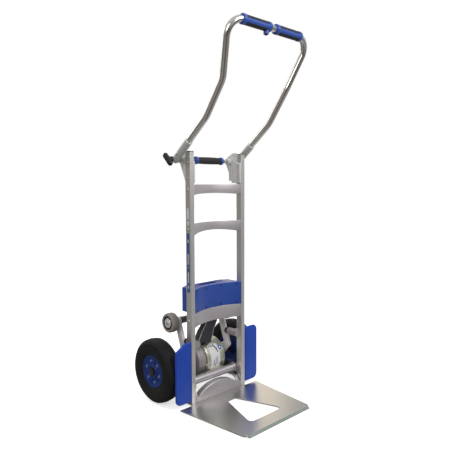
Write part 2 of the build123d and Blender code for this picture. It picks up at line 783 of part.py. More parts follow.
with BuildPart() as gearbox_neck:
    with BuildSketch(Plane.YZ.offset(flare_left)):
        with BuildLine():
            Polyline((pad_front, pad_high), (pad_back, pad_high), (pad_back - 4, flare_top),
                     (neck_top_back, unit_low - 22), (neck_top_back, unit_low), (neck_top_front, unit_low),
                     (neck_top_front, unit_low - 22), (pad_front, flare_top), close=True)
        make_face()
    extrude(amount=neck_right - flare_left)
    with BuildSketch(Plane.XZ.offset(-pad_back - 1)):
        with BuildLine():
            side_left = ThreePointArc((neck_left, flare_top + 46), (neck_left - 12, flare_top - 8),
                                      (flare_left, pad_high))
            side_right = ThreePointArc((neck_right, flare_top + 46), (neck_right - 6, flare_top),
                                       (pad_right, pad_high))
            Polyline(side_left @ 0, (neck_left, unit_low), (neck_right, unit_low), side_right @ 0)
            Line(side_left @ 1, side_right @ 1)
        make_face()
    extrude(amount=pad_back - front_y, mode=Mode.INTERSECT)
gearbox_neck.part.label = "gearbox_neck"
export_step(gearbox_neck.part, "parts/gearbox_neck.step")

# ---------------------------------------------------------------- fixed axle with a head on each end
axle_half = track_outer / 2 - 8
axle_head = 5
with BuildPart() as main_axle:
    with BuildSketch(Plane.YZ.offset(-axle_half)):
        with Locations((axle_y, axle_z)):
            Circle(axle_radius)
    extrude(amount=2 * axle_half)
    for _, sign in sides:
        with BuildSketch(Plane.YZ.offset(sign * axle_half)):
            with Locations((axle_y, axle_z)):
                Circle(axle_radius + 5)
        extrude(amount=sign * axle_head)
main_axle.part.label = "main_axle"
export_step(main_axle.part, "parts/main_axle.step")

# ---------------------------------------------------------------- climbing yoke and its small wheels
arm_thickness = 16
arm_inner = inner_half - arm_thickness - 2
arm_width = 28
elbow = (front_y + 77, 182)
tip = (front_y + 124, 319)
small_radius = 40
small_width = 36
small_inner = arm_inner + arm_thickness + 12
small_axle_radius = 6
cross_tube_radius = 14
elbow_head = 3
elbow_head_radius = 7

with BuildPart() as output_shaft:
    with BuildSketch(Plane.YZ.offset(-arm_inner - arm_thickness)):
        with Locations((axle_y, axle_z)):
            Circle(sleeve_shaft_radius)
            Circle(axle_radius + running, mode=Mode.SUBTRACT)
    extrude(amount=2 * (arm_inner + arm_thickness))
output_shaft.part.label = "output_shaft"
export_step(output_shaft.part, "parts/output_shaft.step")

arm_run = hypot(tip[0] - elbow[0], tip[1] - elbow[1])
arm_slope = degrees(atan2(tip[1] - elbow[1], tip[0] - elbow[0]))
for side, sign in sides:
    with BuildPart() as arm:
        with BuildSketch(Plane.YZ.offset(sign * arm_inner)):
            with Locations((axle_y, axle_z)):
                Circle(sleeve_shaft_radius + 13)
            with Locations(elbow):
                Circle(arm_width / 2 + 2)
            make_hull()
            with Locations(((elbow[0] + tip[0]) / 2, (elbow[1] + tip[1]) / 2)):
                SlotCenterToCenter(arm_run, arm_width, rotation=arm_slope)
            with Locations(tip):
                Circle(cross_tube_radius + 2)
            with Locations((axle_y, axle_z)):
                Circle(sleeve_shaft_radius + running, mode=Mode.SUBTRACT)
            with Locations(tip):
                Circle(small_axle_radius + running, mode=Mode.SUBTRACT)
        extrude(amount=sign * arm_thickness)
        fillet(arm.edges().filter_by(GeomType.LINE).filter_by(Axis.X, reverse=True), 2)
        with BuildSketch(Plane.YZ.offset(sign * (arm_inner - elbow_head))):
            with Locations(elbow):
                Circle(elbow_head_radius)
        extrude(amount=sign * (arm_thickness + 2 * elbow_head))
    arm.part.label = f"{side}_climb_arm"
    export_step(arm.part, f"parts/{side}_climb_arm.step")

with BuildPart() as cross_tube:
    with BuildSketch(Plane.YZ.offset(-arm_inner)):
        with Locations(tip):
            Circle(cross_tube_radius)
            Circle(small_axle_radius + loose, mode=Mode.SUBTRACT)
    extrude(amount=2 * arm_inner)
cross_tube.part.label = "cross_tube"
export_step(cross_tube.part, "parts/cross_tube.step")

with BuildPart() as small_axle:
    with BuildSketch(Plane.YZ.offset(-small_inner - small_width - 2)):
        with Locations(tip):
            Circle(small_axle_radius)
    extrude(amount=2 * (small_inner + small_width + 2))
    for _, sign in sides:
        with BuildSketch(Plane.YZ.offset(sign * (arm_inner + arm_thickness))):
            with Locations(tip):
                Circle(small_axle_radius + 4)
        extrude(amount=sign * (small_inner - arm_inner - arm_thickness - loose))
small_axle.part.label = "small_axle"
export_step(small_axle.part, "parts/small_axle.step")

small_hub_radius = 24
small_recess = 4
for side, sign in sides:
    with BuildPart() as small_tyre:
        with BuildSketch(Plane.YZ.offset(sign * small_inner)):
            with Locations(tip):
                Circle(small_radius)
        extrude(amount=sign * small_width)
        fillet(small_tyre.edges(), 6)
        with BuildSketch(Plane.YZ.offset(sign * small_inner)):
            with Locations(tip):
                Circle(small_hub_radius + 4)
        extrude(amount=sign * small_width, mode=Mode.SUBTRACT)
    small_tyre.part.label = f"{side}_small_tyre"
    export_step(small_tyre.part, f"parts/{side}_small_tyre.step")

    with BuildPart() as small_hub:
        with BuildSketch(Plane.YZ.offset(sign * small_inner)):
            with Locations(tip):
                Circle(small_hub_radius + 4 - running)
                Circle(small_axle_radius + running, mode=Mode.SUBTRACT)
        extrude(amount=sign * (small_width - small_recess))
        with BuildSketch(Plane.YZ.offset(sign * (small_inner + small_width - small_recess))):
            with Locations(tip):
                Circle(small_hub_radius)
                Circle(small_axle_radius + running, mode=Mode.SUBTRACT)
        extrude(amount=sign * small_recess)
    small_hub.part.label = f"{side}_small_hub"
    export_step(small_hub.part, f"parts/{side}_small_hub.step")

# ---------------------------------------------------------------- rests that carry the parked arms
rest_z = 242
rest_radius = 15
rest_x = inner_half - rest_radius - 1
rest_steel_end = front_y + 62
slope = (tip[0] - elbow[0]) / (tip[1] - elbow[1])
arm_face_y = elbow[0] + (rest_z - rest_radius - elbow[1]) * slope - arm_width / 2 * sqrt(1 + slope ** 2)
with BuildPart() as rest_brackets:
    for _, sign in sides:
        with BuildSketch(Plane.XZ.offset(-rest_steel_end)):
            with Locations((sign * rest_x, rest_z)):
                Circle(rest_radius)
        extrude(amount=rest_steel_end - front_y - 8)
        with BuildSketch(Plane.XZ.offset(-front_y - rail_depth + 3)):
            with Locations((sign * (rest_x + inner_half) / 2, rest_z)):
                Rectangle(inner_half - rest_x, 2 * rest_radius)
        extrude(amount=rail_depth - 11)
rest_brackets.part.label = "rest_brackets"
export_step(rest_brackets.part, "parts/rest_brackets.step")

with BuildPart() as rest_buffers:
    for _, sign in sides:
        with BuildSketch(Plane.XZ.offset(-rest_steel_end)):
            with Locations((sign * rest_x, rest_z)):
                Circle(rest_radius - 2)
        extrude(amount=rest_steel_end - (arm_face_y - 0.4))
rest_buffers.part.label = "rest_buffers"
export_step(rest_buffers.part, "parts/rest_buffers.step")

# ---------------------------------------------------------------- main wheels
wheel_outer = track_outer / 2
wheel_inner = wheel_outer - wheel_width
wheel_middle = (wheel_outer + wheel_inner) / 2
bead_radius = 66
bead_half = 26
rim_recess = 14
crown_half = 22
crown_drop = 3
wall_drop = 33
hub_radius = 20
rim_bolt_circle = 43

for side, sign in sides:
    with BuildPart() as tyre:
        with BuildSketch(Plane(origin=(0, axle_y, axle_z), x_dir=(sign, 0, 0), z_dir=(0, sign, 0))):
            with BuildLine():
                crown = ThreePointArc((wheel_middle - crown_half, crown_drop - wheel_radius),
                                      (wheel_middle, -wheel_radius),
                                      (wheel_middle + crown_half, crown_drop - wheel_radius))
                outer_wall = ThreePointArc(crown @ 1, (wheel_outer, wall_drop - wheel_radius),
                                           (wheel_middle + bead_half, -bead_radius))
                inner_wall = ThreePointArc(crown @ 0, (wheel_inner, wall_drop - wheel_radius),
                                           (wheel_middle - bead_half, -bead_radius))
                Line(outer_wall @ 1, inner_wall @ 1)
            make_face()
        revolve(axis=Axis((0, axle_y, axle_z), (1, 0, 0)))
    tyre.part.label = f"{side}_tyre"
    export_step(tyre.part, f"parts/{side}_tyre.step")

    with BuildPart() as rim:
        with BuildSketch(Plane.YZ.offset(sign * (wheel_middle - bead_half))):
            with Locations((axle_y, axle_z)):
                Circle(bead_radius - 0.15)
        extrude(amount=sign * 2 * bead_half)
        with BuildSketch(Plane.YZ.offset(sign * (wheel_middle + bead_half - 4))):
            with Locations((axle_y, axle_z)):
                Circle(bead_radius - 7)
        extrude(amount=sign * 4, mode=Mode.SUBTRACT)
        with BuildSketch(Plane.YZ.offset(sign * (wheel_middle - bead_half))):
            with Locations((axle_y, axle_z)):
                Circle(bead_radius - 7)
        extrude(amount=sign * rim_recess, mode=Mode.SUBTRACT)
        with BuildSketch(Plane.YZ.offset(sign * (wheel_middle - bead_half))):
            with Locations((axle_y, axle_z)):
                Circle(hub_radius + running)
        extrude(amount=sign * 2 * bead_half, mode=Mode.SUBTRACT)
    rim.part.label = f"{side}_rim"
    export_step(rim.part, f"parts/{side}_rim.step")

    with BuildPart() as hub:
        with BuildSketch(Plane.YZ.offset(sign * (wheel_middle - bead_half - 6))):
            with Locations((axle_y, axle_z)):
                Circle(hub_radius)
                Circle(axle_radius + running, mode=Mode.SUBTRACT)
        extrude(amount=sign * (axle_half - wheel_middle + bead_half + 6 - loose))
    hub.part.label = f"{side}_hub"
    export_step(hub.part, f"parts/{side}_hub.step")

    with BuildPart() as rim_bolts:
        with BuildSketch(Plane.YZ.offset(sign * (wheel_middle + bead_half - 4))):
            with Locations((axle_y, axle_z)):
                with PolarLocations(rim_bolt_circle, 6, start_angle=15):
                    RegularPolygon(5, 6)
        extrude(amount=sign * 4)
    rim_bolts.part.label = f"{side}_rim_bolts"
    export_step(rim_bolts.part, f"parts/{side}_rim_bolts.step")
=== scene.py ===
import math

import bmesh
import bpy
import numpy as np
from mathutils import Matrix, Vector


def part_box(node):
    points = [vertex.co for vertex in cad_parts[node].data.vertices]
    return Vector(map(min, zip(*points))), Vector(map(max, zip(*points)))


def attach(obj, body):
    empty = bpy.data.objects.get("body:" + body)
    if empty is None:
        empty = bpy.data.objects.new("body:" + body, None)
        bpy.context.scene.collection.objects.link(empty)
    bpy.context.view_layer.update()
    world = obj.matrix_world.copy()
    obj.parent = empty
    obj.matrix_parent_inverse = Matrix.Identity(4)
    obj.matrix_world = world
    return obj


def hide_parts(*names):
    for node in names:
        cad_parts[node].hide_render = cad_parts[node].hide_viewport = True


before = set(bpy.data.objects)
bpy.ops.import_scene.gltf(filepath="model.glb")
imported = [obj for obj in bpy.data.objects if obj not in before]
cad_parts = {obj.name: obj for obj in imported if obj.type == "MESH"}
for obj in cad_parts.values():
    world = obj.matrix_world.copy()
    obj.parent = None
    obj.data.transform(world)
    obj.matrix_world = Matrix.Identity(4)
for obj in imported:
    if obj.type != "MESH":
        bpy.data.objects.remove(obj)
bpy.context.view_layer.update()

# ---- Camera, floor and studio light -------------------------------------------------------------
# The truck stands on a pale floor under soft light that comes mostly from its front, and the room
# is darker on its left side. The camera looks at it from the front left, a little above the middle.
camera = bpy.data.objects.new("camera", bpy.data.cameras.new("camera"))
camera.data.sensor_width = 36
camera.data.lens = 40.47
turned_left, tipped_down, rolled = math.radians(-43.765), math.radians(4.578), math.radians(-0.202)
camera.matrix_world = (
    Matrix.Translation((-1.405, -1.469, 0.8825))
    @ Matrix.Rotation(turned_left, 4, "Z")
    @ Matrix.Rotation(math.pi / 2 - tipped_down, 4, "X")
    @ Matrix.Rotation(rolled, 4, "Z")
)
bpy.context.scene.collection.objects.link(camera)
bpy.context.scene.camera = camera
bpy.context.scene.view_settings.view_transform = "Standard"


def soft_box(name, place, aim, size, watts, tint=(1, 1, 1)):
    """A square area light of that size, turned so that it shines from its place at the aim point."""
    lamp = bpy.data.objects.new(name, bpy.data.lights.new(name, "AREA"))
    lamp.data.size, lamp.data.energy, lamp.data.color = size, watts, tint
    lamp.location = place
    lamp.rotation_euler = (Vector(aim) - Vector(place)).to_track_quat("-Z", "Y").to_euler()
    bpy.context.scene.collection.objects.link(lamp)


soft_box("key_light", (0.9, -2.6, 2.5), (0, 0, 0.7), 1.8, 46)
soft_box("fill_light", (-2.6, -1.2, 2.2), (0, 0, 0.7), 1.6, 24)
soft_box("warm_glow", (1.6, 1.45, 0.95), (0.1, 0, 0), 0.7, 1.5, (1, 0.84, 0.62))
soft_box("back_light", (-0.6, 2.4, 2.3), (0, 0.1, 0.8), 1.4, 10)


def setup(made, **values):
    """Sets up a shader node and returns it. A name that starts with a capital is an input's, with an
    underscore for each space. The others are the node's own settings, and are given first."""
    for name, value in values.items():
        if name[0].isupper():
            made.inputs[name.replace("_", " ")].default_value = value
        else:
            setattr(made, name, value)
    return made


def node(tree, kind, **values):
    """A new shader node of that kind, set up."""
    return setup(tree.nodes.new(f"ShaderNode{kind}"), **values)


def wire(tree, *runs):
    """Links, each from a node's output to another node's input: (node, output, node, input)."""
    for start, output, end, entry in runs:
        tree.links.new(start.outputs[output], end.inputs[entry])


def ramp(tree, first, last, stops):
    """A colour ramp from the first tone to the last, with (place, tone) stops between them."""
    band = node(tree, "ValToRGB")
    marks = band.color_ramp.elements
    marks[0].color, marks[-1].color = (*first, 1), (*last, 1)
    for place, tone in stops:
        marks.new(place).color = (*tone, 1)
    return band


# Metal mirrors a room that is dark behind the camera and bright to the right; the camera sees white.
room = bpy.data.worlds.new("room")
bpy.context.scene.world = room
room.use_nodes = True
room_tree = room.node_tree
direction, parts, ray = (node(room_tree, kind) for kind in ("TexCoord", "SeparateXYZ", "LightPath"))
walls = node(room_tree, "MapRange", From_Min=-1)
wall_tones = ramp(room_tree, (0.50, 0.48, 0.45), (0.8, 0.79, 0.80), (
    (0.13, (0.17, 0.145, 0.115)), (0.24, (0.28, 0.285, 0.24)), (0.5, (0.50, 0.485, 0.475)),
    (0.86, (0.33, 0.33, 0.335))))
ceiling = node(room_tree, "MapRange", From_Min=0.25, From_Max=0.8)
roof = node(room_tree, "Mix", data_type="RGBA", B=(0.62, 0.62, 0.63, 1))
seen = node(room_tree, "Mix", data_type="RGBA", B=(1, 1, 1, 1))
wire(room_tree, (direction, "Generated", parts, "Vector"), (parts, "X", walls, "Value"),
     (walls, "Result", wall_tones, "Fac"), (parts, "Z", ceiling, "Value"),
     (ceiling, "Result", roof, "Factor"), (wall_tones, "Color", roof, "A"), (roof, "Result", seen, "A"),
     (ray, "Is Camera Ray", seen, "Factor"), (seen, "Result", room_tree.nodes["Background"], "Color"))

FLOOR_HALF = 12
floor_mesh = bpy.data.meshes.new("floor")
floor_corners = FLOOR_HALF * np.array([[-1, -1, 0], [1, -1, 0], [1, 1, 0], [-1, 1, 0]])
floor_mesh.from_pydata(floor_corners, [], [(0, 1, 2, 3)])
floor = bpy.data.objects.new("floor", floor_mesh)
bpy.context.scene.collection.objects.link(floor)
floor_paint = bpy.data.materials.new("floor_paint")
floor_paint.use_nodes = True
floor_tree = floor_paint.node_tree
floor_shader = setup(floor_tree.nodes["Principled BSDF"], Roughness=0.9, Specular_IOR_Level=0.1,
                     Emission_Strength=0.62)
# What metal mirrors of the floor, and the light it bounces: a grey with a dark band in front and a bright
# strip to the right, a painted reflection and painted shade that the camera never sees.
FLOOR_GREY, FLOOR_BRIGHT = (0.30, 0.30, 0.30), (0.80, 0.78, 0.77)
floor_place, floor_ray = node(floor_tree, "TexCoord"), node(floor_tree, "LightPath")
around = node(floor_tree, "TexGradient", gradient_type="RADIAL")
strips = ramp(floor_tree, FLOOR_GREY, FLOOR_GREY, (
    (0.06, (0.30, 0.295, 0.28)), (0.13, (0.12, 0.10, 0.085)), (0.2, (0.13, 0.11, 0.095)),
    (0.3, FLOOR_GREY), (0.42, FLOOR_GREY), (0.48, FLOOR_BRIGHT), (0.56, FLOOR_BRIGHT), (0.64, FLOOR_GREY)))
paint_shown = node(floor_tree, "Mix", data_type="RGBA", B=(0.93, 0.93, 0.93, 1))
glow_shown = node(floor_tree, "Mix", data_type="RGBA", A=(0, 0, 0, 1), B=(1, 1, 1, 1))
wire(floor_tree, (floor_place, "Object", around, "Vector"), (around, "Color", strips, "Fac"),
     (strips, "Color", paint_shown, "A"), (floor_ray, "Is Camera Ray", paint_shown, "Factor"),
     (floor_ray, "Is Camera Ray", glow_shown, "Factor"),
     (paint_shown, "Result", floor_shader, "Base Color"),
     (glow_shown, "Result", floor_shader, "Emission Color"))
floor_mesh.materials.append(floor_paint)

# ---- Side rails ---------------------------------------------------------------------------------
# Two rectangular aluminium extrusions, drawn and satin anodised, with a plastic cap in the top of
# each and zinc-plated screws through the outer walls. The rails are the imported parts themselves.


def new_group(name, inputs, outputs):
    """An empty shader node group with those named sockets; a colour is (name, "Color")."""
    group = bpy.data.node_groups.new(name, "ShaderNodeTree")
    for where, sockets in (("INPUT", inputs), ("OUTPUT", outputs)):
        for label, kind in sockets:
            group.interface.new_socket(name=label, in_out=where, socket_type=f"NodeSocket{kind}")
    return group, group.nodes.new("NodeGroupInput"), group.nodes.new("NodeGroupOutput")


# Marks in a surface: a fine noise that raises it, and a broad noise that shades it.
FINE_SHARE = 0.35
marks_group, marks_in, marks_out = new_group(
    "surface_marks", [("Vector", "Vector"), ("Patch Vector", "Vector")],
    [("Height", "Float"), ("Shade", "Float")])
fine = node(marks_group, "TexNoise", Scale=1, Detail=3)
broad = node(marks_group, "TexNoise", Scale=1, Detail=4)
mixed = node(marks_group, "Math", operation="MULTIPLY_ADD")
mixed.inputs[1].default_value = FINE_SHARE
wire(marks_group, (marks_in, "Vector", fine, "Vector"), (marks_in, "Patch Vector", broad, "Vector"),
     (fine, "Fac", marks_out, "Height"), (fine, "Fac", mixed, 0), (broad, "Fac", mixed, 2),
     (mixed, "Value", marks_out, "Shade"))

# Dust and scuffs: most near the floor, broken up by noise. Reach is the height at which they end.
dust_group, dust_in, dust_out = new_group(
    "settled_dust", [("Vector", "Vector"), ("Reach", "Float"), ("Amount", "Float")], [("Mask", "Float")])
dust_axes = node(dust_group, "SeparateXYZ")
dust_fade = node(dust_group, "MapRange", To_Min=1, To_Max=0)
dust_noise = node(dust_group, "TexNoise", Scale=34, Detail=6)
broken, thinned = (node(dust_group, "Math", operation="MULTIPLY") for _ in range(2))
wire(dust_group, (dust_in, "Vector", dust_axes, "Vector"), (dust_in, "Vector", dust_noise, "Vector"),
     (dust_axes, "Z", dust_fade, "Value"), (dust_in, "Reach", dust_fade, "From Max"),
     (dust_fade, "Result", broken, 0), (dust_noise, "Fac", broken, 1), (broken, "Value", thinned, 0),
     (dust_in, "Amount", thinned, 1), (thinned, "Value", dust_out, "Mask"))

DUST = (0.30, 0.27, 0.23, 1)


def finish(name, colour, roughness, metallic=0.0, grain=(900, 900, 900), patches=9, relief=0.1,
           shade=0.12, coat=0.0, reach=0.0, dust=0.0, specular=0.5):
    """A material for one kind of surface. The grain is its noise scale along X, Y and Z, so a low number
    draws the marks out along that axis. The colour and the roughness vary by the shade either way, and
    the dust lies up to the reach."""
    material = bpy.data.materials.new(name)
    material.use_nodes = True
    tree = material.node_tree
    shader = setup(tree.nodes["Principled BSDF"], Metallic=metallic, Coat_Weight=coat, Coat_Roughness=0.12,
                   Specular_IOR_Level=specular)
    place = node(tree, "TexCoord")
    stretch = node(tree, "Mapping", Scale=grain)
    spread = node(tree, "Mapping", Scale=(patches, patches, patches))
    marks = node(tree, "Group", node_tree=marks_group)
    tint = node(tree, "Mix", data_type="RGBA", A=(*[c * (1 - shade) for c in colour], 1),
                B=(*[min(1, c * (1 + shade)) for c in colour], 1))
    gloss = node(tree, "MapRange", From_Min=0.3, From_Max=1.0, To_Min=roughness * (1 - shade),
                 To_Max=min(1, roughness * (1 + shade)))
    bump = node(tree, "Bump", Strength=relief, Distance=0.001)
    wire(tree, (place, "Object", stretch, "Vector"), (stretch, "Vector", marks, "Vector"),
         (place, "Object", spread, "Vector"), (spread, "Vector", marks, "Patch Vector"),
         (marks, "Shade", tint, "Factor"), (marks, "Shade", gloss, "Value"),
         (marks, "Height", bump, "Height"), (gloss, "Result", shader, "Roughness"),
         (bump, "Normal", shader, "Normal"))
    last = tint
    if dust:
        soil = node(tree, "Group", node_tree=dust_group, Reach=reach, Amount=dust)
        last = node(tree, "Mix", data_type="RGBA", B=DUST)
        wire(tree, (place, "Object", soil, "Vector"), (soil, "Mask", last, "Factor"),
             (tint, "Result", last, "A"))
    wire(tree, (last, "Result", shader, "Base Color"))
    return material


def dress(material, *nodes):
    """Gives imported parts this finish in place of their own."""
    for node in nodes:
        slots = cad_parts[node].data.materials
        slots.clear()
        slots.append(material)


anodised = finish("anodised_rail", (0.78, 0.76, 0.74), 0.34, metallic=0.9, grain=(1500, 1500, 9),
                  patches=5, relief=0.05, shade=0.06)
cap_plastic = finish("cap_plastic", (0.02, 0.02, 0.022), 0.5, relief=0.15)
zinc = finish("zinc_plate", (0.78, 0.78, 0.76), 0.28, metallic=1.0, grain=(500, 500, 500), shade=0.1)
dress(anodised, "left_rail", "right_rail")
dress(cap_plastic, "rail_caps")
dress(zinc, "frame_screws")

# ---- Stickers on the left rail ------------------------------------------------------------------
# Printed film on the outer wall of the left rail: a small pale plate above a long blue strip with
# light blocks and bars that say nothing.


def rounded(corners, radii, closed=True, steps=6):
    """Points of a line with rounded corners, in two or three dimensions: the arc at a corner touches
    both runs, and its centre is on the bisector, radius / sin(half the corner's angle) away."""
    corners = np.asarray(corners, float)
    radii = np.broadcast_to(radii, len(corners))
    line = []
    for i, (corner, radius) in enumerate(zip(corners, radii)):
        if radius == 0 or (not closed and i in (0, len(corners) - 1)):
            line.append(corner[None])
            continue
        back, ahead = corners[i - 1] - corner, corners[(i + 1) % len(corners)] - corner
        back, ahead = back / np.linalg.norm(back), ahead / np.linalg.norm(ahead)
        half = math.acos(back @ ahead) / 2
        centre = corner + (back + ahead) / np.linalg.norm(back + ahead) * radius / math.sin(half)
        start = corner + back * radius / math.tan(half) - centre
        end = corner + ahead * radius / math.tan(half) - centre
        turn = math.pi - 2 * half
        t = np.linspace(0, 1, steps + 1)[:, None]
        line.append(centre + (start * np.sin((1 - t) * turn) + end * np.sin(t * turn)) / math.sin(turn))
    line = np.concatenate(line)
    return np.concatenate([line, line[:1]]) if closed else line


def rectangle(low, high):
    """Corners of an upright rectangle between two opposite corners, anticlockwise."""
    return [(low[0], low[1]), (high[0], low[1]), (high[0], high[1]), (low[0], high[1])]


def drawn_in(outline, inset):
    """A closed outline (n x 2) moved inwards: each point goes along the mean of its two edges' normals,
    by inset / cos(half the turn), so that both edges move by the inset."""
    shape = outline[:-1]
    ahead = np.roll(shape, -1, 0) - shape
    area = np.sum(shape[:, 0] * np.roll(shape[:, 1], -1) - shape[:, 1] * np.roll(shape[:, 0], -1))
    normal = np.stack([-ahead[:, 1], ahead[:, 0]], 1) * np.sign(area)
    normal /= np.linalg.norm(normal, axis=1)[:, None]
    before = np.roll(normal, 1, 0)
    mitre = (normal + before) / (1 + np.sum(normal * before, 1))[:, None]
    moved = shape + mitre * inset
    return np.concatenate([moved, moved[:1]])


AXES = {"x": ((0, 1, 0), (0, 0, 1), (1, 0, 0)), "y": ((1, 0, 0), (0, 0, 1), (0, 1, 0)),
        "z": ((1, 0, 0), (0, 1, 0), (0, 0, 1))}


def slab(outline, start, end, edge, axis, hollow=0.0, steps=4):
    """Grid of a plate with rounded edges, whose outline is drawn across that axis, from start to end
    along it. At angle a of an edge's arc the outline draws in by edge * (1 - sin a) while the plate
    rises by edge * (1 - cos a). A hollow plate is open at its start, with walls that thick."""
    across, along, out = (np.array(v, float) for v in AXES[axis])
    angle = np.linspace(0, math.pi / 2, steps + 1)
    inset, rise = edge * (1 - np.sin(angle)), edge * (1 - np.cos(angle))
    way = np.sign(end - start)
    insets = list(inset) + list(inset[::-1])
    levels = list(start + way * rise) + list(end - way * rise[::-1])
    if hollow:
        insets = [hollow + edge, hollow, hollow, 0] + list(inset[::-1])
        levels = [end - way * hollow, end - way * (hollow + edge), start,
                  start] + list(end - way * rise[::-1])
    rings = [drawn_in(outline, i) for i in insets]
    return np.stack([r[:, :1] * across + r[:, 1:] * along + level * out for r, level in zip(rings, levels)])


def build(name, grids, material, body, stands_for=(), ends=True, sharp=34):
    """A piece made of grids of points (rows x columns x 3): a quad joins each four neighbours, and with
    ends each grid's first and last rows are closed by a flat face. Points that meet become one, faces
    turn outwards, and edges sharper than the angle stay crisp."""
    points, faces, count = [], [], 0
    for grid in grids:
        rows, columns = grid.shape[:2]
        index = np.arange(rows * columns).reshape(rows, columns) + count
        quads = np.stack([index[:-1, :-1], index[:-1, 1:], index[1:, 1:], index[1:, :-1]], -1)
        faces += quads.reshape(-1, 4).tolist()
        for row in (0, rows - 1):
            if ends and np.ptp(grid[row], axis=0).max() > 1e-6:
                faces.append(index[row, :-1].tolist())
        points.append(grid.reshape(-1, 3))
        count += rows * columns
    mesh = bpy.data.meshes.new(name)
    mesh.from_pydata(np.concatenate(points), [], faces)
    shell = bmesh.new()
    shell.from_mesh(mesh)
    bmesh.ops.remove_doubles(shell, verts=shell.verts, dist=2e-6)
    bmesh.ops.dissolve_degenerate(shell, edges=shell.edges, dist=1e-7)
    bmesh.ops.recalc_face_normals(shell, faces=shell.faces)
    shell.to_mesh(mesh)
    shell.free()
    mesh.polygons.foreach_set("use_smooth", np.ones(len(mesh.polygons), bool))
    mesh.set_sharp_from_angle(angle=math.radians(sharp))
    mesh.materials.append(material)
    piece = bpy.data.objects.new(name, mesh)
    bpy.context.scene.collection.objects.link(piece)
    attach(piece, body)
    if stands_for:
        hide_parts(*stands_for)
    return piece


rail_low, rail_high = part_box("left_rail")
rail_front, rail_back = rail_low.y, rail_high.y
OUTER_HALF, INNER_HALF = -rail_low.x, -rail_high.x
FILM = 0.0003

strip_film = finish("blue_film", (0.03, 0.09, 0.30), 0.3, relief=0.02, shade=0.25, coat=0.3)
pale_film = finish("pale_film", (0.62, 0.66, 0.68), 0.35, relief=0.02, coat=0.3)


def rail_film(name, low_z, high_z, side_gap, material, layer=0):
    """A rounded film on the left rail's outer wall, a gap in from the wall's edges."""
    outline = rounded(rectangle((rail_front + side_gap, low_z), (rail_back - side_gap, high_z)), 0.002)
    wall = -OUTER_HALF - layer * FILM
    build(name, [slab(outline, wall, wall - FILM, FILM / 3, "x")], material, "frame")


rail_film("rail_plate", 0.724, 0.791, 0.008, pale_film)
rail_film("rail_plate_bar", 0.742, 0.747, 0.011, strip_film, layer=1)
rail_film("rail_strip", 0.459, 0.693, 0.0075, strip_film)
for block, (low_z, high_z) in enumerate(((0.474, 0.486), (0.496, 0.540), (0.556, 0.561), (0.570, 0.612),
                                         (0.655, 0.668))):
    rail_film(f"rail_strip_block_{block}", low_z, high_z, 0.0125, pale_film, layer=1)

# ---- Crossbars ----------------------------------------------------------------------------------
# Three pressed aluminium bars, bowed away from the load so that a round load lies still, with tabs
# screwed to the rails. The upper two are arched along their lower edges.
bar_satin = finish("satin_crossbar", (0.60, 0.565, 0.59), 0.42, metallic=0.75, grain=(14, 1200, 1200),
                   patches=7, relief=0.05, shade=0.05)
BAR_THICKNESS = 0.004
BAR_EDGE = 0.0012
TAB_DEPTH = 0.025


def bowed(half, sag, face_y, low, high, arch, thickness, edge):
    """Grid of a bar whose plan is an arc through its two ends and sag behind them at the middle, so
    y = face + sag - radius + sqrt(radius^2 - x^2). Its section is a rounded upright rectangle, whose
    bottom rises by arch * (1 - (x / half)^2)."""
    radius = (half**2 + sag**2) / (2 * sag)
    x = np.linspace(-half, half, 73)
    centre_y = face_y + sag - radius
    y = centre_y + np.sqrt(radius**2 - x**2)
    section = rounded(rectangle((0, 0), (thickness, high - low)), edge, steps=4)
    out = np.stack([x, y - centre_y], 1) / radius
    lift = arch * (1 - (x / half) ** 2)
    height = np.where(section[:, 1] < (high - low) / 2, low + section[:, 1] + lift[:, None],
                      low + section[:, 1])
    return np.stack([x[:, None] + out[:, :1] * section[:, 0], y[:, None] + out[:, 1:] * section[:, 0],
                     height], -1)


bar_face = rail_front + 0.001
for bar, arch in (("upper", 0.006), ("middle", 0.013), ("lower", 0.0)):
    bar_low, bar_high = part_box(f"{bar}_crossbar")
    bar_sag = bar_high.y - bar_low.y - BAR_THICKNESS
    grids = [bowed(INNER_HALF, bar_sag, bar_face, bar_low.z, bar_high.z, arch, BAR_THICKNESS, BAR_EDGE)]
    for side in (-1, 1):
        tab = rounded(rectangle((bar_face, bar_low.z), (bar_face + TAB_DEPTH, bar_high.z)), 0.003)
        grids.append(slab(tab, side * INNER_HALF, side * (INNER_HALF - BAR_THICKNESS), BAR_EDGE / 2, "x"))
    build(f"{bar}_bar", grids, bar_satin, "frame", [f"{bar}_crossbar"])

# ---- Toe plate ----------------------------------------------------------------------------------
# One bright rolled aluminium sheet with a window cut out of it. Its front edge runs down to the floor in a
# lip, and a flange at its back is folded up between the rails. The lip and the flange are coloured darker
# than the top as painted shade.
toe_low, toe_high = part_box("toe_plate")
PLATE_TOP, PLATE_BOTTOM, SEAT_TOP = 0.007, 0.003, 0.006
BACK_HALF, FRONT_HALF = toe_high.x, toe_high.x - 0.033
LIP_DEPTH, LIP_HALF = 0.011, FRONT_HALF - 0.0115
toe_rear = rail_front - 0.005
toe_nose = toe_low.y + LIP_DEPTH
window_back, window_front = rail_front - 0.070, rail_front - 0.262

# Painted shade and real dust: the upright flange is the same sheet as the top, in a darker, duller copy of
# its finish, with dust near the floor.
flange_shade_and_dust = finish("flange_painted_shade_and_dust", (0.46, 0.43, 0.45), 0.42, metallic=0.6, patches=9, relief=0.06,
                      shade=0.10, reach=0.05, dust=0.3)
toe_bright = finish("bright_sheet", (0.62, 0.615, 0.59), 0.30, metallic=1.0, grain=(500, 30, 500),
                    patches=6, relief=0.06, shade=0.08)


def unit_points(angle):
    """Points of the unit circle at those angles, n x 2."""
    return np.stack([np.cos(angle), np.sin(angle)], 1)


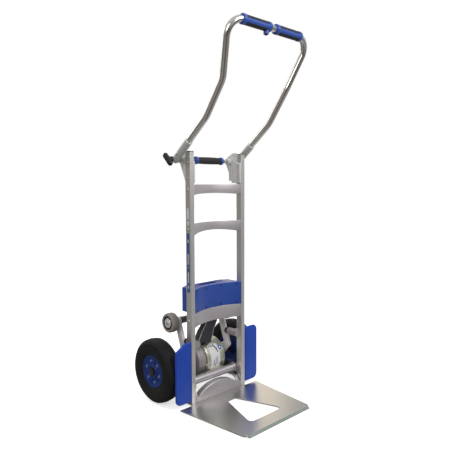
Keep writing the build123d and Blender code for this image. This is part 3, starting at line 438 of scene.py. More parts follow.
def pierced(outer, inner, bottom, top, edge):
    """Grid of a plate with a hole: points on both outlines lie on the same rays from the hole's middle,
    and the rows go round the plate's section, with each edge cut off at 45 degrees."""
    middle = inner[:-1].mean(0)

    def reach(outline, rays):
        """Distance from the hole's middle to the outline along each ray, by interpolation over angle."""
        arm = outline[:-1] - middle
        angle = np.arctan2(arm[:, 1], arm[:, 0])
        order = np.argsort(angle)
        return np.interp(rays, angle[order], np.linalg.norm(arm, axis=1)[order], period=2 * math.pi)

    def dense(outline):
        """The outline with each run divided in 24, so that rays meet straight runs where they lie."""
        t = np.linspace(0, 1, 25)[:-1, None, None]
        runs = outline[:-1] * (1 - t) + outline[1:] * t
        return np.concatenate([runs.transpose(1, 0, 2).reshape(-1, 2), outline[:1]])

    outer, inner = dense(outer), dense(inner)
    arms = np.concatenate([outer[:-1:4], inner[:-1:4]]) - middle
    rays = np.unique(np.round(np.arctan2(arms[:, 1], arms[:, 0]), 4))
    rays = np.append(rays, rays[0] + 2 * math.pi)
    circle = unit_points(rays)
    far, near = reach(outer, rays)[:, None], reach(inner, rays)[:, None]
    rows = []
    for distance, z in ((near + edge, top), (near, top - edge), (near, bottom + edge),
                        (near + edge, bottom), (far - edge, bottom), (far, bottom + edge),
                        (far, top - edge), (far - edge, top), (near + edge, top)):
        rows.append(np.concatenate([middle + circle * distance, np.full((len(rays), 1), z)], 1))
    return np.stack(rows)


plate_outline = rounded([(-BACK_HALF, toe_rear), (-FRONT_HALF, toe_nose), (FRONT_HALF, toe_nose),
                         (BACK_HALF, toe_rear)], (0.002, 0.014, 0.014, 0.002))
window_outline = rounded([(-0.022, window_back), (-0.091, window_front), (0.091, window_front),
                          (0.022, window_back)], (0.005, 0.016, 0.016, 0.005))
lip_section = rounded([(toe_nose + 0.002, PLATE_BOTTOM), (toe_nose + 0.002, PLATE_TOP - 0.0002),
                       (toe_nose - 0.002, PLATE_TOP - 0.0002), (toe_low.y, 0.002), (toe_low.y, 0.0),
                       (toe_low.y + 0.004, 0.0)], (0, 0, 0.001, 0.0008, 0.0005, 0))
flange = rounded(rectangle((-INNER_HALF + 0.0005, SEAT_TOP), (INNER_HALF - 0.0005, toe_high.z)), 0.003)
tongue = rounded(rectangle((-OUTER_HALF, toe_rear - 0.001), (OUTER_HALF, toe_high.y)), 0.002)
build("toe_sheet", [pierced(plate_outline, window_outline, PLATE_BOTTOM, PLATE_TOP, 0.0005)], toe_bright,
      "frame", ["toe_plate"], ends=False)
# Painted shade: the lip is the same sheet as the top, coloured darker and greener where it turns down away
# from the light.
lip_painted_shade = finish("lip_painted_shade", (0.30, 0.35, 0.31), 0.45, metallic=0.6, patches=9, relief=0.06)
build("toe_lip", [slab(lip_section, -LIP_HALF, LIP_HALF, 0.0003, "x")], lip_painted_shade, "frame")
build("toe_flange", [slab(flange, rail_front, rail_front + 0.003, 0.0008, "y"),
                     slab(tongue, PLATE_BOTTOM, SEAT_TOP, 0.0004, "z")], flange_shade_and_dust, "frame")

# ---- Arched cover, gussets and lower tube -------------------------------------------------------
# A pressed cover stands behind the flange, two curved gussets brace each corner, and a tube between
# the rails carries the foot of the gearbox.
pressed = finish("pressed_cover", (0.56, 0.53, 0.55), 0.36, metallic=0.8, grain=(30, 900, 900),
                 patches=12, relief=0.08, shade=0.10, reach=0.25, dust=0.25)
brace_low, brace_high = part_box("toe_brace")
arch_half, shoulder_z = brace_high.x, brace_low.z + 0.024
arch_rise = brace_high.z - shoulder_z
arch_radius = (arch_half**2 + arch_rise**2) / (2 * arch_rise)
arch_x = np.linspace(arch_half, -arch_half, 49)
arch_z = brace_high.z - arch_radius + np.sqrt(arch_radius**2 - arch_x**2)
arch_outline = np.concatenate([[(arch_half, brace_low.z)], np.stack([arch_x, arch_z], 1),
                               [(-arch_half, brace_low.z), (arch_half, brace_low.z)]])
build("arched_cover", [slab(arch_outline, brace_high.y, brace_low.y, 0.004, "y", hollow=0.003)], pressed,
      "frame", ["toe_brace"], sharp=50)


def open_line(corners, radii, steps=6):
    """A line with rounded corners and two ends, as the side view of a turned part."""
    return rounded(corners, radii, False, steps)


def lathe(profile, base, axis=(1, 0, 0), sides=96, swell=None):
    """Grid of a turned shape: each row of the profile (distance along the axis, radius) swings round the
    axis through the base. swell(distance, angle) is added to the radius where it is given."""
    profile = np.asarray(profile, float)
    axis = np.array(axis, float) / np.linalg.norm(axis)
    across = np.cross(axis, (0, 0, 1) if abs(axis[2]) < 0.9 else (1, 0, 0))
    across /= np.linalg.norm(across)
    along = np.cross(axis, across)
    angle = np.linspace(0, 2 * math.pi, sides + 1)
    circle = np.cos(angle)[:, None] * across + np.sin(angle)[:, None] * along
    distance, radius = profile[:, :1], profile[:, 1:] + np.zeros(sides + 1)
    if swell is not None:
        radius = radius + swell(distance, angle[None])
    return np.array(base, float) + distance[:, :, None] * axis + radius[:, :, None] * circle


tube_low, tube_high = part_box("lower_cross_tube")
TUBE_RADIUS, TUBE_BORE, TUBE_HALF, TUBE_END, COLLAR_AT = 0.017, 0.013, 0.125, 0.130, 0.118
tube_centre = (0, tube_high.y - TUBE_RADIUS, (tube_low.z + tube_high.z) / 2)
tube_profile = [(-TUBE_HALF, TUBE_BORE), (-TUBE_HALF, TUBE_RADIUS), (TUBE_HALF, TUBE_RADIUS),
                (TUBE_HALF, TUBE_BORE), (-TUBE_HALF, TUBE_BORE)]
tube_grids = [lathe(tube_profile, tube_centre)]
collar = open_line([(-0.004, 0.0), (-0.004, 0.021), (0.004, 0.021), (0.004, 0.0)], 0.002)
for side in (-1, 1):
    tube_grids.append(lathe(collar + (side * COLLAR_AT, 0), tube_centre))
    plate = rounded(rectangle((tube_low.y, tube_low.z), (tube_high.y, tube_high.z)), 0.008)
    tube_grids.append(slab(plate, side * TUBE_END, side * TUBE_HALF, 0.001, "x"))
build("lower_tube", tube_grids, pressed, "frame", ["lower_cross_tube"])

gusset_low, gusset_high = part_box("toe_gussets")
GUSSET_RADIUS, GUSSET_BAND, GUSSET_RIB = 0.052, 0.007, 0.004
gusset_y = gusset_low.y + GUSSET_RADIUS
sweep = np.linspace(math.pi / 2, math.pi, 25)
outer_arc = unit_points(sweep) * GUSSET_RADIUS
inner_arc = outer_arc[::-1] * (1 - GUSSET_BAND / GUSSET_RADIUS)
foot = [(0.010, GUSSET_RADIUS - GUSSET_BAND), (0.010, GUSSET_RADIUS)]
band = np.concatenate([outer_arc, inner_arc, foot]) + (gusset_y, gusset_low.z)
band = np.concatenate([band, band[:1]])
gusset_grids = []
for side in (-1, 1):
    for start in (gusset_high.x - 3 * GUSSET_RIB, gusset_high.x - GUSSET_RIB):
        gusset_grids.append(slab(band, side * start, side * (start + GUSSET_RIB), 0.001, "x"))
gusset_light = finish("gusset_casting", (0.74, 0.71, 0.72), 0.3, metallic=0.8, patches=14, relief=0.1)
build("corner_gussets", gusset_grids, gusset_light, "frame", ["toe_gussets"])

# ---- Wheel guards -------------------------------------------------------------------------------
# Blue moulded plastic plates in front of the wheels, thin shells open at the back with rounded
# edges, each screwed to its rail by a tab. The left one has its upper outer corner cut off.
guard_blue = finish("guard_plastic", (0.017, 0.066, 0.43), 0.38, grain=(420, 420, 22), patches=10,
                    relief=0.12, shade=0.12, specular=0.25, reach=0.12, dust=0.06)
GUARD_DEPTH, GUARD_WALL, GUARD_EDGE, TAB_INSET = 0.008, 0.003, 0.0042, 0.020
SIDES = (("left", -1), ("right", 1))


def side_span(low, high):
    """The near and the far side of a left or right node's box, as distances from the middle plane."""
    return sorted((abs(low.x), abs(high.x)))


for side, sign in SIDES:
    low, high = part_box(f"{side}_guard")
    near, far = (sign * x for x in side_span(low, high))
    cut_across, cut_down = (0.046, 0.027) if side == "left" else (0.014, 0.014)
    corners = [(near, low.z), (near, high.z), (far - sign * cut_across, high.z), (far, high.z - cut_down),
               (far, low.z)]
    outline = rounded(corners, (0.003, 0.003, 0.014, 0.014, 0.024), steps=12)
    face, back = low.y, low.y + GUARD_DEPTH
    tab = rounded(rectangle((back - 0.004, low.z + TAB_INSET), (high.y, high.z - TAB_INSET)), 0.004)
    build(f"{side}_guard_shell", [slab(outline, back, face, GUARD_EDGE, "y", hollow=GUARD_WALL, steps=6),
                                  slab(tab, near, near + sign * GUARD_WALL, 0.0008, "x")], guard_blue,
          "frame", [f"{side}_guard"])

# ---- Handle brackets, pivot bar and carrying grip -----------------------------------------------
# A light grey casting on each rail holds the steel pivot bar, and a rubber carrying grip with a blue
# ring at each end turns on the bar between the two bosses.
cast_grey = finish("cast_bracket", (0.76, 0.765, 0.74), 0.46, metallic=0.1, patches=16, relief=0.22,
                   shade=0.08)
cast_pale = finish("machined_pad", (0.80, 0.78, 0.79), 0.34, metallic=0.5, patches=12, relief=0.06,
                   shade=0.05)
turned_steel = finish("turned_steel", (0.62, 0.60, 0.58), 0.26, metallic=1.0, grain=(1400, 60, 60),
                      relief=0.05)
grip_rubber = finish("grip_rubber", (0.018, 0.017, 0.018), 0.55, grain=(1400, 1400, 1400), relief=0.25,
                     shade=0.2)
grip_blue = finish("grip_plastic", (0.035, 0.10, 0.46), 0.34, patches=20, relief=0.10, shade=0.10, coat=0.1)

bar_low, bar_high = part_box("pivot_bar")
pivot_y, pivot_z = (bar_low.y + bar_high.y) / 2, (bar_low.z + bar_high.z) / 2
PIVOT = (0, pivot_y, pivot_z)
BOSS_RADIUS, PIVOT_RADIUS = 0.013, 0.007
BRACKET_PLATE = 0.0045
for side, sign in SIDES:
    low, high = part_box(f"{side}_handle_bracket")
    boss_inner = side_span(low, high)[0]
    outline = rounded([(rail_front + 0.002, low.z), (rail_front + 0.053, low.z + 0.003),
                       (high.y, pivot_z - 0.007), (pivot_y + 0.020, pivot_z + 0.018),
                       (rail_front + 0.050, high.z), (rail_front + 0.026, high.z),
                       (rail_front + 0.022, pivot_z - 0.006), (rail_front + 0.002, pivot_z - 0.006)],
                      (0.003, 0.004, 0.012, 0.010, 0.006, 0.004, 0.004, 0.003))
    web = slab(outline, sign * INNER_HALF, sign * (INNER_HALF - BRACKET_PLATE), 0.0013, "x")
    boss_line = [(boss_inner, PIVOT_RADIUS), (boss_inner, BOSS_RADIUS - 0.0015),
                 (boss_inner + 0.0015, BOSS_RADIUS), (OUTER_HALF, BOSS_RADIUS),
                 (OUTER_HALF, PIVOT_RADIUS), (boss_inner, PIVOT_RADIUS)]
    boss = lathe(boss_line, PIVOT, (sign, 0, 0), sides=64)
    rib = rounded([(pivot_y - 0.004, low.z + 0.012), (pivot_y + 0.001, low.z + 0.012),
                   (pivot_y + 0.004, pivot_z), (pivot_y - 0.004, pivot_z)], 0.001)
    ribs = slab(rib, sign * (INNER_HALF - BRACKET_PLATE + 0.001), sign * (INNER_HALF - 0.012), 0.001, "x")
    build(f"{side}_bracket", [web, ribs], cast_grey, "frame", [f"{side}_handle_bracket"])
    build(f"{side}_bracket_boss", [boss], cast_grey, "frame", ends=False)
    pad = rounded(rectangle((rail_front + 0.003, low.z + 0.002), (rail_front + 0.023, pivot_z - 0.010)),
                  0.004)
    build(f"{side}_bracket_pad", [slab(pad, sign * (INNER_HALF - 0.004), sign * (INNER_HALF - 0.0075),
                                       0.002, "x")], cast_pale, "frame")

dress(turned_steel, "pivot_bar")
grip_high, ring_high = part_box("carry_grip")[1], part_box("carry_grip_rings")[1]
GRIP_RADIUS, RING_RADIUS = grip_high.z - pivot_z, ring_high.z - pivot_z
grip_half, ring_end = grip_high.x, ring_high.x
lengthwise = np.linspace(-grip_half, grip_half, 41)
barrel = GRIP_RADIUS - 0.0012 * (lengthwise / grip_half) ** 2
profile = [(-grip_half, PIVOT_RADIUS), *zip(lengthwise, barrel), (grip_half, PIVOT_RADIUS),
           (-grip_half, PIVOT_RADIUS)]


def fluted(count, depth):
    """Radius change of shallow flutes that run along a grip: depth times a sharpened cosine of count
    waves round it."""
    return lambda distance, angle: -depth * np.clip(np.cos(count * angle), 0, 1) ** 3 + 0 * distance


build("carry_grip_rubber", [lathe(profile, PIVOT, sides=160, swell=fluted(20, 0.0006))], grip_rubber,
      "frame", ["carry_grip"], ends=False)
ring_line = rounded([(grip_half, PIVOT_RADIUS + 0.0003), (grip_half, RING_RADIUS),
                     (ring_end, RING_RADIUS), (ring_end, PIVOT_RADIUS + 0.0003)], (0, 0.004, 0.006, 0),
                    steps=8)
rings = [lathe(ring_line, PIVOT, (sign, 0, 0)) for sign in (-1, 1)]
build("carry_grip_collars", rings, grip_blue, "frame", ["carry_grip_rings"], ends=False)

# ---- Folding handle -----------------------------------------------------------------------------
# One polished steel tube, bent to a loop that leans over the load, is seated in a grey sleeve on
# each end of the pivot bar. Each sleeve has a pale rim and a domed rivet.
handle_low, handle_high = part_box("handle_tube")
TUBE, SLEEVE = 0.0125, 0.015
TUBE_START, RIVET_AT = 0.032, 0.034
grip_y, grip_z = handle_low.y + TUBE, handle_high.z - TUBE
corner_x, sleeve_x = handle_high.x - TUBE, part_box("right_sleeve")[1].x - SLEEVE
bend_low = (rail_front - 0.117, 1.126)
bend_high = (rail_front - 0.206, 1.250)
lean = np.array([0, bend_low[0] - pivot_y, bend_low[1] - pivot_z])
lean /= np.linalg.norm(lean)
polished = finish("polished_tube", (0.73, 0.71, 0.67), 0.13, metallic=1.0, grain=(260, 260, 260),
                  patches=14, relief=0.012, shade=0.05)
sleeve_grey = finish("sleeve_casting", (0.56, 0.585, 0.56), 0.42, metallic=0.15, patches=14, relief=0.18,
                     shade=0.08)


def carried(path, section, hint):
    """Grid of a closed section (n x 2) carried along a path: at each point the section's first axis is
    the tangent crossed with the hint, and its second is that crossed with the tangent."""
    tangent = np.gradient(path, axis=0)
    tangent /= np.linalg.norm(tangent, axis=1)[:, None]
    across = np.cross(tangent, hint)
    across /= np.linalg.norm(across, axis=1)[:, None]
    along = np.cross(across, tangent)
    return path[:, None] + section[None, :, :1] * across[:, None] + section[None, :, 1:] * along[:, None]


def circle_section(radius, sides=40):
    """Closed ring of points: radius times the cosine and sine of even angles."""
    return radius * unit_points(np.linspace(0, 2 * math.pi, sides + 1))


foot = {sign: np.array([sign * sleeve_x, pivot_y, pivot_z]) + lean * TUBE_START for sign in (-1, 1)}
route = [foot[-1], (-sleeve_x, *bend_low), (-sleeve_x, *bend_high), (-corner_x, grip_y, grip_z),
         (corner_x, grip_y, grip_z), (sleeve_x, *bend_high), (sleeve_x, *bend_low), foot[1]]
handle_path = open_line(route, (0, 0.130, 0.130, 0.055, 0.055, 0.130, 0.130, 0), steps=18)
build("handle_loop", [carried(handle_path, circle_section(TUBE), (0, 0.8, 0.6))], polished, "handle",
      ["handle_tube"])

SLEEVE_LENGTH, RIM = 0.106, 0.006
ball = np.linspace(-math.pi / 2, 0, 13)
for side, sign in SIDES:
    base = (sign * sleeve_x, pivot_y, pivot_z)
    line = [*zip(SLEEVE * np.sin(ball), SLEEVE * np.cos(ball)), (SLEEVE_LENGTH - RIM, SLEEVE),
            (SLEEVE_LENGTH - RIM, TUBE)]
    build(f"{side}_sleeve_casting", [lathe(line, base, lean, sides=64)], sleeve_grey, "handle",
          [f"{side}_sleeve"])
    rim_line = open_line([(SLEEVE_LENGTH - RIM, TUBE), (SLEEVE_LENGTH - RIM, SLEEVE + 0.0006),
                          (SLEEVE_LENGTH, SLEEVE + 0.0006), (SLEEVE_LENGTH, TUBE)], (0, 0.001, 0.0015, 0))
    build(f"{side}_sleeve_rim", [lathe(rim_line, base, lean, sides=64)], cast_pale, "handle", ends=False)
    rivet_base = np.array(base) + lean * RIVET_AT + (-SLEEVE + 0.0006, 0, 0)
    dome = [(-0.002, 0.0062), (0, 0.0062), (0.0012, 0.0056), (0.0022, 0.0038), (0.0027, 0)]
    build(f"{side}_sleeve_rivet", [lathe(dome, rivet_base, (-1, 0, 0), sides=32)], zinc, "handle")

# ---- Hand grips ---------------------------------------------------------------------------------
# Two blue moulded grips on the top of the loop, each with a collar at both ends and ribbed black
# rubber strips let into its top and bottom. The drive switch hangs under the left grip.
for side, sign in SIDES:
    low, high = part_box(f"{side}_grip")
    near, far = side_span(low, high)
    COLLAR, CORE, COLLAR_WIDTH = (high.z - low.z) / 2, 0.016, 0.013
    line = open_line([(near, TUBE), (near, COLLAR), (near + COLLAR_WIDTH, COLLAR),
                      (near + COLLAR_WIDTH + 0.003, CORE), (far - COLLAR_WIDTH - 0.003, CORE),
                      (far - COLLAR_WIDTH, COLLAR), (far, COLLAR), (far, TUBE)],
                     (0, 0.0035, 0.002, 0.002, 0.002, 0.002, 0.0035, 0))
    build(f"{side}_grip_moulding", [lathe(line, (0, grip_y, grip_z), (sign, 0, 0), sides=72)], grip_blue,
          "handle", [f"{side}_grip"], ends=False)

strip_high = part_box("grip_inserts")[1]
STRIP_OUT, STRIP_IN, RIB_HEIGHT, RIB_PITCH, ARC_POINTS = strip_high.z - grip_z, 0.01595, 0.0005, 0.0062, 15
STRIP_HALF_ANGLE, STRIP_LEAN = math.radians(60), math.radians(14)
strip_start = 0.0273
strip_grids = []
for sign in (-1, 1):
    for upward in (-1, 1):
        x = np.linspace(strip_start, strip_high.x, 121)
        ribs = STRIP_OUT - RIB_HEIGHT * (np.sin((x - strip_start) * 2 * math.pi / RIB_PITCH) > 0)
        angle = np.linspace(-STRIP_HALF_ANGLE, STRIP_HALF_ANGLE, ARC_POINTS)
        ring = np.concatenate([angle, angle[::-1], angle[:1]]) - upward * STRIP_LEAN
        outer = np.concatenate([np.ones(ARC_POINTS), np.zeros(ARC_POINTS), [1]])
        radius = outer * ribs[:, None] + (1 - outer) * STRIP_IN
        strip_grids.append(np.stack([sign * x[:, None] + 0 * radius, grip_y + radius * np.sin(ring),
                                     grip_z + upward * radius * np.cos(ring)], -1))
build("grip_strips", strip_grids, grip_rubber, "handle", ["grip_inserts"])
dress(grip_blue, "switch_housing")
button_low, button_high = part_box("drive_button")
button_centre = ((button_low.x + button_high.x) / 2, (button_low.y + button_high.y) / 2, button_high.z)
button_radius, button_height = (button_high.x - button_low.x) / 2, button_high.z - button_low.z
button_line = open_line([(0, 0), (0, button_radius), (button_height, button_radius), (button_height, 0)],
                        (0, 0, 0.003, 0))
build("drive_push_button", [lathe(button_line, button_centre, (0, 0, -1), sides=48)], grip_rubber,
      "button", ["drive_button"])

# ---- Wing knob ----------------------------------------------------------------------------------
# A black moulded wing knob on the left end of the pivot bar clamps the handle at its angle.
knob_black = finish("knob_plastic", (0.014, 0.014, 0.016), 0.42, patches=20, relief=0.18, shade=0.2)
knob_low, knob_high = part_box("lock_knob")
WING_LENGTH, WING_HEIGHT, WING_SLANT = 0.060, 0.029, math.radians(45)
wing_t = np.linspace(0, 2 * math.pi, 73)
waist = 0.72 + 0.28 * np.abs(np.cos(wing_t)) ** 2
wing = np.stack([np.cos(wing_t) * WING_LENGTH / 2,
                 np.sign(np.sin(wing_t)) * np.abs(np.sin(wing_t)) ** 0.55 * waist * WING_HEIGHT / 2], 1)
slant = np.array([[math.cos(WING_SLANT), math.sin(WING_SLANT)],
                  [-math.sin(WING_SLANT), math.cos(WING_SLANT)]])
wing = wing @ slant + (pivot_y, pivot_z)
wing[-1] = wing[0]
knob_face = knob_low.x + 0.013
hub_end = knob_high.x - knob_face
knob_hub = open_line([(0, PIVOT_RADIUS), (0, 0.011), (hub_end, 0.012), (hub_end, PIVOT_RADIUS)],
                     (0, 0.002, 0.001, 0))
build("wing_knob", [slab(wing, knob_face + 0.001, knob_low.x, 0.004, "x", steps=6),
                    lathe(knob_hub, (knob_face, pivot_y, pivot_z), sides=48)], knob_black, "knob",
      ["lock_knob"])

# ---- Battery unit -------------------------------------------------------------------------------
# A bowed blue cover in line with the crossbars fronts the housing on the lower bar, held by eight
# dark screws. The battery pack lifts out of a bay behind it by the finger recess in its top.
unit_blue = finish("unit_plastic", (0.022, 0.072, 0.36), 0.33, grain=(420, 420, 420), patches=8,
                   relief=0.14, shade=0.10, coat=0.1)
pack_blue = finish("pack_plastic", (0.016, 0.05, 0.27), 0.45, patches=14, relief=0.22, shade=0.12)
screw_dark = finish("blackened_screw", (0.010, 0.012, 0.03), 0.4, metallic=0.6, patches=60)
board_green = finish("circuit_board", (0.01, 0.10, 0.04), 0.4, patches=40, shade=0.3)
cover_low, cover_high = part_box("battery_cover")
COVER_THICKNESS = 0.004
cover_sag = cover_high.y - cover_low.y - COVER_THICKNESS
build("unit_cover", [bowed(INNER_HALF, cover_sag, bar_face, cover_low.z, cover_high.z, 0.0,
                           COVER_THICKNESS, 0.0018)], unit_blue, "frame", ["battery_cover"])
dress(unit_blue, "battery_housing")
dress(pack_blue, "battery_pack")
dress(screw_dark, "cover_screws")
dress(board_green, "control_board")

# ---- Gearbox drum and motor ---------------------------------------------------------------------
# A cast silver drum round the axle, with a lid on its right, screws round its left rim and a foot on
# the lower tube. A grey motor housing stands against its left face.
drum_silver = finish("drum_casting", (0.66, 0.67, 0.56), 0.30, metallic=0.85, grain=(500, 500, 500),
                     patches=11, relief=0.12, shade=0.10, reach=0.3, dust=0.25)
motor_grey = finish("motor_casting", (0.36, 0.325, 0.335), 0.44, metallic=0.3, patches=12, relief=0.2,
                    shade=0.10, reach=0.3, dust=0.3)
gear_steel = finish("gear_steel", (0.42, 0.41, 0.40), 0.3, metallic=1.0, grain=(900, 80, 80), shade=0.1)
box_low, box_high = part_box("gearbox_housing")
lid_low, lid_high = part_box("gearbox_lid")
motor_low, motor_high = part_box("motor_housing")
axle_y, axle_z = (lid_low.y + lid_high.y) / 2, (lid_low.z + lid_high.z) / 2
AXLE = (0, axle_y, axle_z)
DRUM, SHAFT, LABEL_SINK = lid_high.z - axle_z, 0.0155, 0.0012
drum_line = open_line([(box_low.x, SHAFT), (box_low.x, DRUM), (box_low.x + 0.010, DRUM),
                       (box_low.x + 0.012, DRUM - 0.001), (box_high.x - 0.003, DRUM - 0.001),
                       (box_high.x - 0.0005, DRUM - 0.002), (box_high.x - 0.0005, SHAFT)],
                      (0, 0.003, 0.001, 0.001, 0.001, 0.001, 0))
PAD_RIGHT = 0.026
pad_front, pad_back = axle_y - 0.061, axle_y - 0.027
foot_front, foot_back = rail_front + 0.044, axle_y - 0.040
foot_side = rounded(rectangle((foot_front, 0.068), (foot_back, 0.096)), 0.006)
build("drum", [lathe(drum_line, AXLE, sides=160), slab(foot_side, 0.002, 0.072, 0.003, "x")], drum_silver,
      "frame", ["gearbox_housing"])
lid_line = open_line([(lid_low.x, SHAFT), (lid_low.x, DRUM), (lid_high.x, DRUM),
                      (lid_high.x, DRUM - 0.020), (lid_high.x - 0.002, DRUM - 0.023),
                      (lid_high.x - 0.002, 0.024), (lid_high.x, 0.022), (lid_high.x, SHAFT)],
                     (0, 0.0008, 0.006, 0.001, 0.001, 0.001, 0.001, 0))
build("drum_lid", [lathe(lid_line, AXLE, sides=160)], drum_silver, "frame", ["gearbox_lid"])


def ring_of(centre, circle_radius, count, first, profile, out, sides=24):
    """Grids of the same turned shape at even angles round an X-parallel axis, the first at that angle."""
    angles = first + np.arange(count) * 2 * math.pi / count
    return [lathe(profile, (centre[0], centre[1] + circle_radius * math.cos(a),
                            centre[2] + circle_radius * math.sin(a)), (out, 0, 0),
                  sides=sides) for a in angles]


hex_head = [(0, 0.0), (0, 0.0062), (0.0012, 0.0062), (0.0013, 0.0050), (0.0040, 0.0048), (0.0046, 0.0034),
            (0.0046, 0.0)]
build("lid_screws", ring_of((lid_high.x - 0.0002, axle_y, axle_z), DRUM - 0.013, 6, math.pi / 6, hex_head,
                            1, sides=12), zinc, "frame", ["gearbox_bolts"], sharp=20)
build("drum_rim_screws", ring_of((box_low.x, axle_y, axle_z), DRUM - 0.0068, 8, 0.2, hex_head, -1,
                                 sides=12), zinc, "frame", sharp=20)
MOTOR = motor_high.z - axle_z
motor_line = open_line([(motor_high.x, SHAFT), (motor_high.x, MOTOR), (motor_low.x, MOTOR),
                        (motor_low.x, 0.030), (motor_low.x + 0.003, 0.027), (motor_low.x + 0.003, SHAFT)],
                       (0, 0.001, 0.008, 0.002, 0.001, 0))
seam = open_line([(-0.001, 0), (-0.001, MOTOR + 0.0012), (0.004, MOTOR + 0.0012), (0.004, 0)], 0.001)
build("motor_cover", [lathe(motor_line, AXLE, sides=144),
                      lathe(seam + (motor_low.x + 0.014, 0), AXLE, sides=144)], motor_grey, "frame",
      ["motor_housing"])
dress(motor_grey, "drive_motor", "rest_brackets")
dress(gear_steel, "output_gear", "motor_pinion")

# ---- Labels on the drum -------------------------------------------------------------------------
# A white printed label wraps the drum's front with a few dark bars on it, and a round blue sticker
# with a pale middle sits at its right.
label_white = finish("label_white", (0.80, 0.80, 0.82), 0.3, relief=0.01, shade=0.04, coat=0.3)
label_ink = finish("label_ink", (0.05, 0.05, 0.07), 0.35, relief=0.01)
label_blue = finish("label_blue", (0.05, 0.16, 0.55), 0.3, relief=0.01, coat=0.3)


def wrapped(name, low_x, high_x, low_angle, high_angle, material, layer=0):
    """A film wrapped on the drum: its thin section (x, radius) is carried round the axle between two
    angles, measured in degrees up from the drum's front."""
    inside = DRUM - LABEL_SINK + layer * 2 * FILM
    section = rounded(rectangle((low_x, inside), (high_x, inside + 5 * FILM)), FILM)
    angle = np.radians(np.linspace(low_angle, high_angle, 33))[:, None]
    x, radius = section[None, :, 0] + 0 * angle, section[None, :, 1]
    grid = np.stack([x, axle_y - radius * np.cos(angle), axle_z + radius * np.sin(angle)], -1)
    build(name, [grid], material, "frame")


wrapped("drum_label", 0.009, 0.062, -30, 52, label_white)
for bar, (low_x, high_x, low_angle, high_angle) in enumerate(((0.014, 0.020, 44, 49),
                                                              (0.025, 0.031, 43, 49),
                                                              (0.037, 0.044, 42, 50),
                                                              (0.042, 0.048, 37, 43),
                                                              (0.046, 0.053, 29, 37),
                                                              (0.050, 0.055, 22, 29),
                                                              (0.036, 0.0385, -22, 8),
                                                              (0.045, 0.047, -16, 12),
                                                              (0.027, 0.029, -18, 2))):
    wrapped(f"drum_label_bar_{bar}", low_x, high_x, low_angle, high_angle, label_ink, layer=1)


def round_film(name, radius, layer, material, middle_x=0.071, middle_angle=math.radians(35.7)):
    """A round film on the drum: rings about its middle, at x = middle + ring * cos a and at an angle
    round the axle of middle + ring * sin a / drum radius."""
    ring = np.array([0, 0.5, 1, 1]) * radius
    height = DRUM - LABEL_SINK + np.array([1, 1, 1, 0]) * 5 * FILM + layer * FILM
    a = np.linspace(0, 2 * math.pi, 41)
    x = middle_x + ring[:, None] * np.cos(a)
    angle = middle_angle + ring[:, None] * np.sin(a) / DRUM
    wrapped = (x, axle_y - height[:, None] * np.cos(angle), axle_z + height[:, None] * np.sin(angle))
    build(name, [np.stack(wrapped, -1)], material, "frame", ends=False)


round_film("round_sticker", 0.0105, 0, label_blue)
round_film("round_sticker_middle", 0.0045, 1, label_white)

# ---- Neck ---------------------------------------------------------------------------------------
# A dark grey casting carries the drum from the battery unit. It is narrow at the top and flares to the left
# over the motor. A light bead down each side of its face is a painted highlight on its rounded edges.
neck_dark = finish("neck_casting", (0.034, 0.034, 0.042), 0.5, metallic=0.1, patches=14, relief=0.3,
                   shade=0.15)
neck_edge_highlight = finish("neck_edge_highlight", (0.42, 0.42, 0.42), 0.4, metallic=0.6, patches=14, relief=0.1)
neck_low, neck_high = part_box("gearbox_neck")
NECK_LEFT, NECK_RIGHT, FLARE = -0.019, 0.046, 1.85
waist_z = 0.308
levels = np.linspace(neck_low.z, neck_high.z, 49)
spread_out = np.clip((waist_z - levels) / (waist_z - neck_low.z), 0, 1) ** FLARE
left_x = NECK_LEFT + (neck_low.x - NECK_LEFT) * spread_out
right_x = NECK_RIGHT + (PAD_RIGHT - NECK_RIGHT) * spread_out
bend_z = [0.262, neck_high.z - 0.022]
front_line = np.interp(levels, bend_z, [pad_front, rail_front + 0.046])
back_line = np.interp(levels, [neck_low.z, *bend_z], [pad_back, pad_back - 0.004, rail_front + 0.068])
foot_wedge = rounded([(pad_front, neck_low.z + 0.001), (pad_front, neck_low.z - 0.006),
                      (pad_back - 0.004, neck_low.z - 0.026), (pad_back, neck_low.z - 0.026),
                      (pad_back, neck_low.z + 0.001)], (0.0003, 0.002, 0.003, 0.001, 0.0003))


def neck_rings(corner):
    """Section of the neck at each level: a rectangle between its left and right edges and its front and
    back lines, with each corner rounded by a quarter circle."""
    unit = rounded(rectangle((-1, -1), (1, 1)), 0.5, steps=5)
    side, depth = unit[:, 0], unit[:, 1]
    x = np.where(side < 0, left_x[:, None] + (side + 1) * corner * 2,
                 right_x[:, None] + (side - 1) * corner * 2)
    y = np.where(depth < 0, front_line[:, None] + (depth + 1) * corner * 2,
                 back_line[:, None] + (depth - 1) * corner * 2)
    return np.stack([x, y, np.repeat(levels[:, None], len(unit), 1)], -1)


build("neck", [neck_rings(0.002), slab(foot_wedge, box_low.x + 0.001, PAD_RIGHT, 0.002, "x")], neck_dark,
      "frame", ["gearbox_neck"])
# Painted highlight: a light bead along each rounded front edge of the face.
highlight_beads = []
for edge_x, inward in ((left_x, 1), (right_x, -1)):
    edge_line = np.stack([edge_x + inward * 0.002, front_line + 0.0008, levels], 1)
    highlight_beads.append(carried(edge_line, circle_section(0.0021, sides=14), (0, 1, 0)))
build("neck_edge_highlights", highlight_beads, neck_edge_highlight, "frame")
